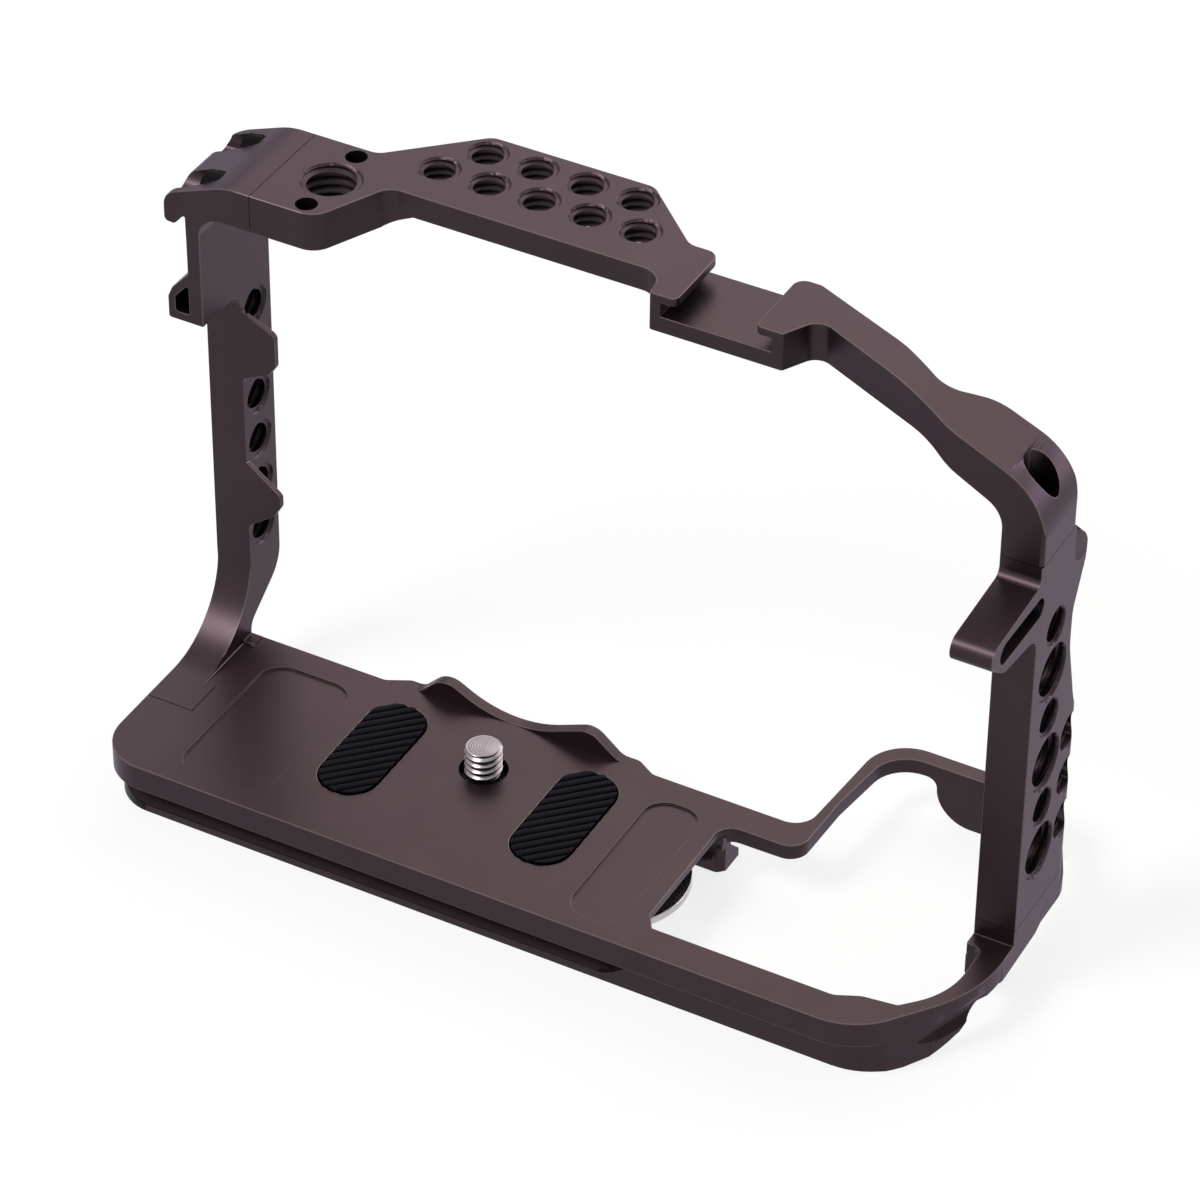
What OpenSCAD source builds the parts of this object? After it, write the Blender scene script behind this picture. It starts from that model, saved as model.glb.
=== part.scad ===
// Camera cage: a base plate on a dovetail foot, two side plates and a top plate, screwed together at
// three flush seams, with a captive camera screw, rubber pads and a coin-shaped key kept underneath.
// Millimetres. +X to the right hand, +Y towards the lens, +Z up. The origin is on the camera screw's
// axis, at the floor that the camera stands on.

/* [Cage] */
// Camera screw's axis to the outer face of the left plate
left_reach = 58.8; // [56:0.1:64]
// Camera screw's axis to the outer face of the right plate
right_reach = 95.1; // [93:0.1:104]
// Floor to the top face
cage_height = 98.1; // [94:0.1:112]
// Wall of the left plate
left_wall = 6.5; // [5.5:0.1:7.5]
// Wall of the right plate
right_wall = 7.1; // [6.6:0.1:8]
// Wall of the top plate's ends and of its arm
top_wall = 6.9; // [6.6:0.1:8]
// Wall of the top plate's holed bar
bar_wall = 4.4; // [3.5:0.1:5.5]

/* [Base plate] */
// Camera screw's axis to the base's near edge
near_reach = 27.4; // [26.5:0.1:30]
// Camera screw's axis to the floor's far edge
far_reach = 12.4; // [11.5:0.1:12.8]
// Camera screw's axis to the far edge of the hoop round the battery door
hoop_reach = 39.8; // [36:0.1:46]
// Width of the hoop's far bar
hoop_bar = 2.9; // [2.2:0.1:4]
// Thickness of the floor
floor_wall = 4.8; // [4.4:0.1:5.4]
// Thickness of the hoop
hoop_wall = 2.9; // [2.7:0.1:3.8]
// Camera screw's axis to the battery opening
opening_left = 41.0; // [40.8:0.1:46]
// Depth of the battery opening towards the near edge
opening_near = 21.3; // [19.4:0.1:22]
// Height of the block that carries the right plate
right_block = 3.2; // [2.5:0.1:5]
// Depth of the skirt under the hoop's far bar
skirt_drop = 11.2; // [7:0.1:11.2]
// Height of the waved lip at the floor's far edge
lip_height = 3.6; // [2.6:0.05:4.4]
// Radius of the dip in the lip
lip_dip = 20; // [16:0.5:21]
// Depth of the bare panels in the floor
panel_sink = 0.4; // [0.2:0.1:0.8]

/* [Dovetail foot] */
// Width of the foot across its lips
foot_width = 38; // [36:0.1:38.5]
// Camera screw's axis to the foot's far lip
foot_far = 12.85; // [12.4:0.05:13.2]
// Floor to the underside of the foot
foot_drop = 11.2; // [10.6:0.1:13]
// Height of the lips
foot_lip = 1.6; // [1:0.1:2.2]
// Depth of the grooves
foot_groove = 3; // [2:0.1:3.4]

/* [Camera screw] */
// Thread diameter of the camera screw, 1/4 in
screw_d = 6.35; // [6.35:0.01:6.4]
// Length of thread above the floor
screw_rise = 4.9; // [4:0.1:6]
// Diameter of the plain neck under the thread
neck_d = 5.2; // [4.6:0.1:5.4]
// Diameter of the screw's head
head_d = 13.5; // [12.4:0.1:14]
// Thickness of the screw's head
head_thick = 2.4; // [1.9:0.1:3]
// Width of the coin slot in the head
coin_slot = 1.7; // [1.6:0.1:2.2]
// Thickness of the floor over the screw's head
ledge_wall = 2.8; // [2:0.1:3.2]
// Clear hole for the screw
screw_hole_d = 8.3; // [7:0.1:9]
// Thickness of the washer on the screw's head
washer_thick = 0.5; // [0.3:0.1:0.8]
// Thickness of the retaining ring
ring_thick = 0.8; // [0.6:0.1:1.2]
// Radial width of the retaining ring
ring_width = 1.9; // [1.5:0.1:2.4]
// Metal below the retaining ring
ring_land = 0.6; // [0.4:0.1:1]

/* [Pads] */
// Width of a rubber pad
pad_w = 10.7; // [8:0.1:10.8]
// Length of a rubber pad
pad_l = 25; // [18:0.5:27]
// Depth of a pad's pocket
pad_sink = 1; // [0.6:0.1:1.4]
// Height of the pads' ribs over the floor
rib_rise = 0.4; // [0.2:0.05:0.6]
// Step between the pads' ribs
rib_pitch = 2.3; // [1.8:0.1:2.8]

/* [Coin key] */
// Diameter of the coin key
key_d = 25.4; // [24:0.1:25.8]
// Thickness of the coin key
key_thick = 1.4; // [1.2:0.1:1.5]
// Width of the key's bright rim
key_rim = 1.55; // [1:0.05:2.5]
// Diameter of the magnets that hold the key
magnet_d = 6; // [4:0.5:7]
// Thickness of the magnets
magnet_thick = 2; // [1:0.1:2.4]

/* [Cold shoe] */
// Width of the shoe's slot
shoe_slot = 19.1; // [18.7:0.05:19.4]
// Width between the shoe's lips
shoe_gap = 13.5; // [12:0.1:14]
// Height of the shoe's slot
shoe_height = 2.5; // [2.1:0.1:2.7]
// Thickness of the shoe's lips
shoe_lip = 1.5; // [1.2:0.1:2]
// Outer width of the shoe
shoe_w = 23; // [22.2:0.1:25]

/* [Holes and screws] */
// Thread diameter of the small accessory holes, 1/4 in
small_d = 6.35; // [6.35:0.01:6.4]
// Thread diameter of the large accessory holes, 3/8 in
large_d = 9.525; // [9.5:0.005:9.6]
// Step between the accessory holes
hole_pitch = 9; // [9:0.02:9.3]
// Width of the chamfer round a hole's mouth
mouth = 0.35; // [0.2:0.05:0.5]
// Diameter of the two locating holes beside the large top hole
locator_d = 3.64; // [3:0.01:4]
// Distance between the two locating holes
locator_span = 15.35; // [14.4:0.05:15.6]
// Thread diameter of the screws that join the plates
joint_d = 3; // [2.5:0.1:3]
// Head diameter of the screws that join the plates
joint_head_d = 5.5; // [4.6:0.1:5.6]
// Thread diameter of the screws under the right plate
block_d = 2.5; // [2:0.1:3]
// Head diameter of the screws under the right plate
block_head_d = 4.5; // [4:0.1:4.8]

/* [Strap lugs] */
// Height of the right lug's slot
slot_h = 3.8; // [3:0.1:4.2]
// Length of the right lug's slot
slot_l = 15.6; // [12:0.1:16.5]
// Depth of the left lug along the lens axis
lug_depth = 6.5; // [5:0.1:8]
// Wall behind the left lug
lug_wall = 2.55; // [2:0.05:3.2]

/* [Hidden] */
$fn = 96;

metal = [0.36, 0.33, 0.34];
bright = [0.74, 0.72, 0.73];
black = [0.09, 0.09, 0.1];
rubber = [0.12, 0.11, 0.12];

// How far a cutting shape runs past the face that it opens.
over = 1;
// Side play between pieces that are screwed or pressed together.
fit = 0.05;
// Radial play of a screw in its hole and of its head in its counterbore.
play = 0.1;
// How far a corner's arc overshoots its straight edges, and how far its piece reaches past them.
corner_ease = 0.001;
corner_reach = 1.05;

x_left = -left_reach;
x_left_in = x_left + left_wall;
x_right = right_reach;
x_right_in = x_right - right_wall;
z_top = cage_height;
z_under = z_top - top_wall;
// Seam between the left plate and the top plate.
x_seam = x_left + 16.1;
// Seam between the top plate's leg and the right plate.
z_seam = z_top - 22.4;

// Left plate: the post stands behind the wing that carries the strap lug.
post_near = 12.8;
post_far = 22.3;
wing_near = 1.8;
z_wing = z_top - 28.4;
sweep_r = 15;
foot_in = x_left + 8.8;
foot_near = -10.4;
foot_end = far_reach + fit;
foot_deep = floor_wall - 0.8;

// Right plate and the leg above it.
right_near = 2.5;
right_far = 23;
leg_far = 15;
// Radius of its outer far edge.
right_round = 4;

// Base.
slope_run = 13.7;
slope_top = -9.9;
floor_bulge = 14.5;
lip_near = far_reach;
// Outer side of the hoop's left bar, and width of its right one.
hoop_left = 54.8;
rim_width = 4.25;
notch_far = -0.3;
key_x = 27.9;
key_y = -6.2;
key_z = -floor_wall - 1.2;
key_play = 0.5;
// Where the dovetail cutter stopped in the near rail.
cutter_x = 35;
foot_lip_near = foot_far - foot_width;
// How far the foot's right side stands in from the floor's.
foot_inset = 0.06;
z_foot = -foot_drop;

// Camera screw's well.
well_r = head_d / 2 + 0.5;
z_ring = z_foot + ring_land;
ring_out = well_r + 0.4;

shoe_x = 35.9;
shoe_near = 9.2;
shoe_far = 23.8;
shoe_floor = z_top - shoe_lip - shoe_height;

function unit(v) = v / norm(v);
// X of the base's slanted corner edge at a given Y.
function slope_x(y) = x_right - slope_run * (slope_top - y) / (slope_top + near_reach);

// Outline through corners [x, y, radius], anticlockwise, each corner rounded by a true arc.
module rounded_outline(corners) {
    difference() {
        union() {
            polygon([for (corner = corners) [corner.x, corner.y]]);
            for (i = [0 : len(corners) - 1]) corner_piece(corners, i, -1);
        }
        for (i = [0 : len(corners) - 1]) corner_piece(corners, i, 1);
    }
}

// What rounding takes off an outward corner (turn 1) or adds at an inward one (turn -1). The piece is
// drawn round the arc's centre, and the arc crosses the straight edges instead of grazing them.
module corner_piece(corners, i, turn) {
    count = len(corners);
    radius = corners[i].z;
    here = [corners[i].x, corners[i].y];
    before = [corners[(i + count - 1) % count].x, corners[(i + count - 1) % count].y];
    after = [corners[(i + 1) % count].x, corners[(i + 1) % count].y];
    back = unit(before - here);
    ahead = unit(after - here);
    if (radius > 0 && cross(here - before, after - here) * turn > 0) {
        half = acos(back * ahead) / 2;
        middle = here + unit(back + ahead) * radius / sin(half);
        start = (here + back * radius / tan(half) - middle) * corner_reach;
        tip = (here - middle) * corner_reach;
        end = (here + ahead * radius / tan(half) - middle) * corner_reach;
        translate(middle) difference() {
            polygon(turn > 0 ? [[0, 0], start, tip, end] : [end, tip, start, [0, 0]]);
            circle(radius + corner_ease);
        }
    }
}

// A flat outline in X and Y, from z0 up to z1.
module plan(z0, z1) {
    translate([0, 0, z0]) linear_extrude(z1 - z0) children();
}

// An outline in X and Z, from y0 to y1.
module front(y0, y1) {
    translate([0, y1, 0]) rotate([90, 0, 0]) linear_extrude(y1 - y0) children();
}

// An outline in Y and Z, from x0 to x1.
module side(x0, x1) {
    translate([x0, 0, 0]) rotate([90, 0, 90]) linear_extrude(x1 - x0) children();
}

// Through hole along +Z from 0 to length, with a chamfered mouth at each end.
module hole(d, length) {
    translate([0, 0, -over]) cylinder(d = d, h = length + 2 * over);
    translate([0, 0, -over]) cylinder(r1 = d / 2 + mouth + over, r2 = d / 2, h = mouth + over);
    translate([0, 0, length - mouth])
        cylinder(r1 = d / 2, r2 = d / 2 + mouth + over, h = mouth + over);
}

// The same hole along +X.
module hole_x(d, length) {
    rotate([0, 90, 0]) hole(d, length);
}

// Socket screw along -Z: its head stands on z = 0, its shank hangs below.
module socket_screw(d, head, length) {
    color(black) difference() {
        union() {
            cylinder(d = head, h = d);
            translate([0, 0, -length]) cylinder(d = d, h = length + d / 2);
        }
        translate([0, 0, d * 0.45]) cylinder(d = head * 0.52, h = d, $fn = 6);
    }
}

// Room for such a screw: a well for its head, open above, and a hole for its shank.
module screw_room(d, head, length, open) {
    cylinder(d = head + 2 * play, h = open);
    translate([0, 0, -length - over / 2]) cylinder(d = d + 2 * play, h = length + over);
}

// ---- Base plate ----

module base_outline() {
    rounded_outline([
        [x_left, -near_reach, 8.5],
        [x_right - slope_run, -near_reach, 13],
        [x_right, slope_top, 25],
        [x_right, hoop_reach - 18.5, 8],
        [x_right - 8.9, hoop_reach, 5],
        [hoop_left, hoop_reach, 8],
        [hoop_left - 1.9, far_reach, 4],
        [25, far_reach, 2],
        [21.5, floor_bulge, 2],
        [-22, floor_bulge, 2],
        [-26, far_reach, 2],
        [x_left, far_reach, 0]
    ]);
}

// Opening round the battery door, with the hinge notch at its right side.
module battery_opening() {
    rounded_outline([
        [opening_left, -opening_near + 2.8, 0],
        [opening_left + 1.8, -opening_near, 0],
        [x_right - 20.1, -opening_near, 3],
        [x_right - 16.1, -opening_near + 1.9, 4],
        [x_right - 10.2, -opening_near + 2.7, 1],
        [x_right - rim_width, -12.3, 14],
        [x_right - rim_width, notch_far, 1.4],
        [x_right_in, notch_far, 0.5],
        [x_right_in, hoop_reach - 15.8, 0],
        [x_right - 11.6, hoop_reach - hoop_bar, 4],
        [hoop_left + 2.4, hoop_reach - hoop_bar, 6.5],
        [hoop_left + 0.4, far_reach + 8.4, 0],
        [hoop_left, far_reach - 5.6, 3.5],
        [opening_left, far_reach - 5.6, 3]
    ]);
}

// Section of everything right of the opening's left edge: deep near rail, thin hoop.
module hoop_section() {
    polygon([
        [-near_reach, 0],
        [-near_reach, z_foot],
        [-20, z_foot],
        [-16.5, z_foot + 0.6],
        [-12, z_foot + 3.3],
        [-8, -hoop_wall - 0.8],
        [right_near - 0.2, -hoop_wall - 0.6],
        [right_near + 0.7, -hoop_wall],
        [hoop_reach, -hoop_wall],
        [hoop_reach, 0]
    ]);
}

// Section of the dovetail foot, below the floor.
module foot_section() {
    polygon([
        [foot_lip_near, z_foot],
        [foot_far, z_foot],
        [foot_far, z_foot + foot_lip],
        [foot_far - foot_groove, z_foot + foot_lip + foot_groove],
        [foot_far - foot_groove, -floor_wall],
        [foot_lip_near + foot_groove, -floor_wall],
        [foot_lip_near + foot_groove, z_foot + foot_lip + foot_groove],
        [foot_lip_near, z_foot + foot_lip]
    ]);
}

// Groove's end in the near rail, with the cutter's own form.
module cutter_end() {
    reach = 3.3;
    translate([cutter_x, foot_lip_near - reach, 0]) {
        translate([0, 0, z_foot - over]) cylinder(r = reach, h = foot_lip + over);
        translate([0, 0, z_foot + foot_lip])
            cylinder(r1 = reach, r2 = reach + foot_groove, h = foot_groove);
        translate([0, 0, z_foot + foot_lip + foot_groove])
            cylinder(r = reach + foot_groove, h = foot_drop - foot_lip - foot_groove - floor_wall);
    }
}

// Waved lip that keeps the camera from sliding off towards the lens.
module waved_lip() {
    front(lip_near, floor_bulge) rounded_outline([
        [-21, -floor_wall, 0],
        [20, -floor_wall, 0],
        [20, 0, 0],
        [18.4, 0, 2.5],
        [13.1, lip_height + 0.85, 3.6],
        [-2.4, -2, lip_dip],
        [-14.8, lip_height + 1, 3.8],
        [-19.4, 0, 2.5],
        [-21, 0, 0]
    ]);
}

module base_body() {
    // Floor and hoop.
    intersection() {
        plan(-floor_wall, 0) difference() {
            base_outline();
            battery_opening();
        }
        union() {
            side(x_left, opening_left)
                translate([-near_reach, -floor_wall]) square([near_reach + hoop_reach, floor_wall]);
            side(opening_left, x_right) hoop_section();
        }
    }
    // Foot and near rail.
    intersection() {
        plan(z_foot, -floor_wall) difference() {
            rounded_outline([
                [x_left + 0.6, foot_lip_near, 8],
                [slope_x(foot_lip_near) - foot_inset, foot_lip_near, 13],
                [x_right - foot_inset, slope_top, 25],
                [x_right - foot_inset, foot_far, 0],
                [x_left + 0.6, foot_far, 6]
            ]);
            battery_opening();
        }
        union() {
            side(x_left, opening_left) foot_section();
            difference() {
                translate([cutter_x, foot_lip_near, z_foot])
                    cube([opening_left - cutter_x, 2 * foot_groove, foot_drop - floor_wall]);
                cutter_end();
            }
            side(opening_left, x_right) hoop_section();
        }
    }
    // Skirt under the hoop's far bar.
    intersection() {
        plan(-skirt_drop, 0) difference() {
            base_outline();
            battery_opening();
        }
        front(hoop_reach - hoop_bar, hoop_reach) rounded_outline([
            [x_right - 40, 0, 0],
            [x_right - 40, -hoop_wall, 0],
            [x_right - 29.9, -hoop_wall, 1.8],
            [x_right - 29.9, -skirt_drop, 6.5],
            [x_right, -skirt_drop, 0],
            [x_right, 0, 0]
        ]);
    }
    // Block under the right plate, with a deeper rim and the boss beside the notch.
    plan(-hoop_wall, right_block) right_footprint();
    intersection() {
        plan(-floor_wall, 0) difference() {
            base_outline();
            battery_opening();
        }
        side(x_right - 12, x_right) polygon([
            [-6, 0],
            [-6, -hoop_wall - 0.7],
            [-3, -hoop_wall - 0.6],
            [-1.2, -hoop_wall - 1.5],
            [11, -hoop_wall - 0.9],
            [13, -hoop_wall],
            [13, 0]
        ]);
    }
    translate([x_right_in, notch_far, -hoop_wall - 3.4]) cube([2.7, 4.6, hoop_wall + 0.8]);
    waved_lip();
}

// Plan of the right plate's foot and of the block below it.
module right_footprint() {
    rounded_outline([
        [x_right_in, right_near, 0],
        [x_right, right_near, 0],
        [x_right, right_far, right_round],
        [x_right_in, right_far, 0]
    ]);
}

// Slot-ended outline of a pad, grown by a margin.
module pad_outline(margin) {
    w = pad_w + 2 * margin;
    l = pad_l + 2 * margin;
    end_r = w * 0.48;
    rounded_outline([
        [-w / 2, -l / 2, end_r],
        [w / 2, -l / 2, end_r],
        [w / 2, l / 2, end_r],
        [-w / 2, l / 2, end_r]
    ]);
}

// Axis and radius of the hollow in the rounded corner.
hollow_in = 1.255;
hollow_y = -13.38;
hollow_r = 2.6;

pad_y = -4.5;
pad_left_x = -18.6;
pad_right_x = 17.6;

module floor_panel(x0, x1, r) {
    plan(-panel_sink, over) rounded_outline([
        [x0, -24.2, r],
        [x1, -24.2, r],
        [x1, 7.4, r],
        [x0, 7.4, r]
    ]);
}

// Seat of the coin key under the floor. It runs out into the battery opening, the floor over its mouth
// is thinner, and its far wall has a hollow for a fingertip.
module key_seat() {
    seat_r = key_d / 2 + key_play;
    mouth_x = key_x + 5.1;
    mouth_roof = 1.4;
    fingertip_r = 6.8;
    translate([key_x, key_y, z_foot - over]) cylinder(r = seat_r, h = key_z - z_foot + over);
    plan(z_foot - over, key_z) rounded_outline([
        [key_x, key_y - seat_r, 0],
        [opening_left + over, key_y - seat_r, 0],
        [opening_left + over, key_y + seat_r + 2.2, 0],
        [opening_left - 1.2, key_y + seat_r, 1.2],
        [key_x, key_y + seat_r, 0]
    ]);
    plan(key_z, -mouth_roof) rounded_outline([
        [mouth_x, key_y - seat_r + 0.2, 2],
        [opening_left + over, key_y - seat_r + 0.2, 0],
        [opening_left + over, key_y + seat_r - 0.2, 0],
        [mouth_x, key_y + seat_r - 0.2, 2]
    ]);
    intersection() {
        translate([mouth_x + 2.5, key_y + seat_r - 4.4, -floor_wall]) sphere(fingertip_r);
        plan(z_foot, -floor_wall) translate([key_x, key_y]) square(seat_r + fingertip_r);
    }
}

module screw_well() {
    translate([0, 0, -foot_drop]) cylinder(d = screw_hole_d, h = foot_drop + over);
    translate([0, 0, z_foot - over]) cylinder(r = well_r, h = foot_drop - ledge_wall + over);
    translate([0, 0, z_ring - fit]) cylinder(r = ring_out + play, h = ring_thick + 2 * fit);
}

module base_plate() {
    color(metal) difference() {
        base_body();
        // Seat of the left plate's foot.
        translate([x_left - over, foot_near - fit, -foot_deep])
            cube([foot_in - x_left + fit + over, foot_end - foot_near + over, foot_deep + over]);
        floor_panel(foot_in + 4.8, pad_left_x - 9.9, 4.5);
        floor_panel(pad_right_x + 10.4, opening_left - 3.4, 4);
        translate([pad_left_x, pad_y]) plan(-pad_sink, over) pad_outline(fit);
        translate([pad_right_x, pad_y]) plan(-pad_sink, over) pad_outline(fit);
        screw_well();
        key_seat();
        for (y = magnet_ys) translate([magnet_x, y, key_z - over])
            cylinder(d = magnet_d + 2 * fit, h = magnet_thick + over);
        for (y = left_foot_ys) translate([left_foot_x, y, left_foot_z]) mirror([0, 0, 1])
            screw_room(joint_d, joint_head_d, -left_foot_z, foot_drop + left_foot_z + over);
        for (y = right_foot_ys) translate([right_foot_x, y, right_foot_z]) mirror([0, 0, 1])
            screw_room(block_d, block_head_d, right_block - right_foot_z, hoop_wall + over);
        // Shallow hollow across the rounded corner, on a long slant.
        translate([x_right - hollow_in, hollow_y, -floor_wall - 0.1]) rotate([-78, 0, -27])
            cylinder(r = hollow_r, h = 16, center = true);
    }
}

// ---- Left plate ----

left_foot_x = x_left + 4.2;
left_foot_ys = [-5.5, 4.5];
left_foot_z = -floor_wall - 2.6;
top_left_ys = [6.15, 18.15];
top_left_x = x_left + 8.6;
top_left_z = z_top - 3.8;
left_holes_y = 17.4;
left_holes_z = 19.7;
left_hole_count = 6;

// Curve over the plate's upper outer corner, with the wing's notch behind the lug or without it.
module left_corner(notched) {
    rounded_outline(concat(
        [
            [x_seam, z_top, 0],
            [x_left + 11.5, z_top, 12],
            [x_left, z_top - 4.5, 3.2]
        ],
        notched
            ? [
                [x_left, z_top - 9.7, 0.9],
                [x_left + 1.9, z_top - 9.8, 0.7],
                [x_left_in - lug_wall - 0.4, z_top - 7.9, 0],
                [x_left_in - lug_wall, z_top - 7.9, 0]
            ]
            : [[x_left, z_under - 6, 0]],
        [
            [notched ? x_left_in - lug_wall : x_left, z_under - 6, 0],
            [x_left_in, z_under - 6, 0],
            [x_left_in, z_under, 4.2],
            [x_seam, z_under, 0]
        ]
    ));
}

module strap_lug() {
    x_wall = x_left_in - lug_wall;
    difference() {
        rounded_outline([
            [x_wall + over, z_wing, 0],
            [x_wall + over, z_wing + 10.6, 0],
            [x_wall, z_wing + 9.5, 0],
            [x_left + 0.8, z_wing + 6, 1.5],
            [x_left, z_wing + 4.1, 1],
            [x_left, z_wing, 0.5]
        ]);
        rounded_outline([
            [x_left + 1.4, z_wing + 1.6, 0.6],
            [x_wall, z_wing + 1.6, 0.3],
            [x_wall, z_wing + 7.4, 0.3],
            [x_left + 1.4, z_wing + 4.4, 0.8]
        ]);
    }
}

// Thin flange that steadies the camera's side. Over its foot at z stand its lower corner, both ends of
// its upright side and its top.
module flange(z, heel, low, high, tall) {
    front(post_near, post_near + 1) rounded_outline([
        [x_left_in - over, z - over, 0],
        [x_left_in, z - over, 0],
        [x_left_in, z, 1.3],
        [x_left_in + 5.1, z + heel, 1.6],
        [x_left_in + 6.5, z + low, 1.2],
        [x_left_in + 6.5, z + high, 1.3],
        [x_left_in, z + tall, 0],
        [x_left_in - over, z + tall, 0]
    ]);
}

module left_side_plate() {
    color(metal) difference() {
        intersection() {
            plan(-foot_deep, z_top) rounded_outline([
                [x_left, foot_near, 0],
                [x_seam, foot_near, 0],
                [x_seam, post_far, 0],
                [x_left, post_far, 4]
            ]);
            union() {
                // Post, with its swept root.
                side(x_left, x_left_in) difference() {
                    rounded_outline([
                        [foot_near, -foot_deep, 0],
                        [foot_end, -foot_deep, 0],
                        [foot_end, 2, 3],
                        [post_far, 9.1, 7],
                        [post_far, z_under - 4, 0],
                        [post_near, z_under - 4, 0],
                        [post_near, sweep_r, 0],
                        [foot_near, sweep_r, 0]
                    ]);
                    translate([post_near - sweep_r, sweep_r]) circle(sweep_r);
                    translate([foot_near - over, 0])
                        square([post_near - sweep_r - foot_near + over, sweep_r + over]);
                }
                // Foot, let into the floor.
                translate([x_left, foot_near, -foot_deep])
                    cube([foot_in - x_left, foot_end - foot_near, foot_deep]);
                front(post_near, post_far) left_corner(false);
                front(wing_near, post_near) left_corner(true);
                // Wing beside the lug.
                side(x_left_in - lug_wall, x_left_in) rounded_outline([
                    [wing_near, z_wing, 0],
                    [post_near, z_wing, 2.5],
                    [post_near, z_wing - 6, 0],
                    [post_near + over, z_wing - 6, 0],
                    [post_near + over, z_under, 0],
                    [wing_near, z_under, 0]
                ]);
                front(wing_near, wing_near + lug_depth) strap_lug();
                flange(z_wing - 17.1, 2.5, 4.6, 10.7, 13.6);
                flange(22.4, 3.8, 6.2, 8.4, 13.1);
            }
        }
        // Relief along the foot's inner edge.
        translate([x_left_in, -3, -panel_sink]) cube([left_wall, post_near, panel_sink + over]);
        for (k = [0 : left_hole_count - 1])
            translate([x_left, left_holes_y, left_holes_z + k * hole_pitch]) hole_x(small_d, left_wall);
        for (y = top_left_ys) translate([top_left_x, y, top_left_z]) rotate([0, -90, 0])
            screw_room(joint_d, joint_head_d + 2 * fit, x_seam - top_left_x, 2 * left_wall);
        for (y = left_foot_ys) translate([left_foot_x, y, left_foot_z]) mirror([0, 0, 1])
            screw_room(joint_d, joint_head_d, -left_foot_z - 0.8, over);
    }
}

// ---- Right plate ----

right_foot_x = x_right - 3.5;
right_foot_ys = [7.5, 16];
right_foot_z = -0.2;
right_holes_y = 9.65;
right_holes_z = 14.75;
right_hole_count = 6;
far_hole_count = 3;
slot_y = -3.5;
slot_z = z_seam - slot_h - 4;
z_relief = z_seam - 8;

module right_side_plate() {
    color(metal) difference() {
        intersection() {
            side(x_right_in, x_right) rounded_outline([
                [right_near, right_block, 0],
                [right_far, right_block, 0],
                [right_far, 34.4, 3],
                [right_far - 3.6, 38.4, 8],
                [right_far - 6.9, z_seam - 24.2, 16],
                [right_far - 6.9, z_seam - 17.2, 6],
                [right_far - 1.8, z_seam - 5.9, 2.6],
                [leg_far, z_seam, 0],
                [right_near, z_seam, 0],
                [right_near, z_seam - 3.4, 1.6],
                [right_near - 20.7, z_seam - 5.2, 2.2],
                [right_near - 12, z_seam - 11.6, 3],
                [right_near, z_seam - 13.1, 3.3]
            ]);
            plan(right_block, z_seam) rounded_outline([
                [x_right_in, right_near - 22, 0],
                [x_right, right_near - 22, 0],
                [x_right, right_far, right_round],
                [x_right_in, right_far, 0]
            ]);
        }
        for (k = [0 : right_hole_count - 1])
            translate([x_right_in, right_holes_y, right_holes_z + k * hole_pitch])
                hole_x(k % 2 == 0 ? large_d : small_d, right_wall);
        for (k = [0 : far_hole_count - 1])
            translate([x_right_in, right_holes_y + hole_pitch, right_holes_z + k * hole_pitch])
                hole_x(small_d, right_wall);
        // Slanted relief beside the seam, its cutter's radius in the lower corner.
        intersection() {
            side(x_right - 3, x_right + over) rounded_outline([
                [leg_far + 0.1, z_relief, 2.5],
                [right_far, z_relief, 0],
                [right_far, z_seam + over, 0],
                [leg_far + 0.1, z_seam + over, 0]
            ]);
            translate([x_right - 0.05, leg_far - over, z_relief]) rotate([0, -12, 0])
                translate([0, 0, -2]) cube([3, right_far - leg_far + 2 * over, 14]);
        }
        // Strap slot.
        side(x_right_in - over, x_right + over) {
            for (end = [-1, 1]) translate([slot_y + end * (slot_l - slot_h) / 2, slot_z])
                circle(d = slot_h);
            translate([slot_y - (slot_l - slot_h) / 2, slot_z - slot_h / 2])
                square([slot_l - slot_h, slot_h]);
        }
        for (y = right_foot_ys) translate([right_foot_x, y, right_foot_z]) mirror([0, 0, 1])
            screw_room(block_d, block_head_d, block_screw_length, over / 2);
        translate([top_right_x, top_right_y, top_right_z])
            screw_room(joint_d, joint_head_d, top_right_length, over);
    }
}

// ---- Top plate ----

top_right_x = x_right - 3.83;
top_right_y = 8.55;
top_right_z = z_seam + 4.8;
top_right_length = 12;
top_left_length = 12.2;
block_screw_length = 9.2;
large_hole_x = -33.7;
large_hole_y = 12.05;
near_row_x = -20.5;
near_row_y = 23.2;
near_row_count = 5;
far_row_y = 30.7;
far_row_count = 4;
bar_far = 35.3;

module top_outline() {
    rounded_outline([
        [x_seam, wing_near, 0],
        [-30.8, wing_near, 4],
        [-24.7, 14.7, 3],
        [shoe_x - shoe_w / 2 - 0.5, 14.7, 4],
        [shoe_x - shoe_w / 2, shoe_near, 0.6],
        [shoe_x + shoe_w / 2, shoe_near, 0.6],
        [shoe_x + shoe_w / 2 + 3.3, 15.3, 2.6],
        [x_right - 16.6, right_near, 8],
        [x_right, right_near, 0.8],
        [x_right, leg_far, 1],
        [x_right - 13.6, leg_far - 0.6, 9],
        [x_right - 20.8, 10.2, 5],
        [x_right - 30.6, 16, 30],
        [shoe_x + shoe_w / 2 - 0.7, shoe_far, 2],
        [shoe_x - shoe_w / 2 - 0.6, shoe_far, 3],
        [11.6, bar_far, 3],
        [-17.6, bar_far, 3],
        [-31.3, post_far, 3],
        [x_seam, post_far, 0]
    ]);
}

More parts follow.
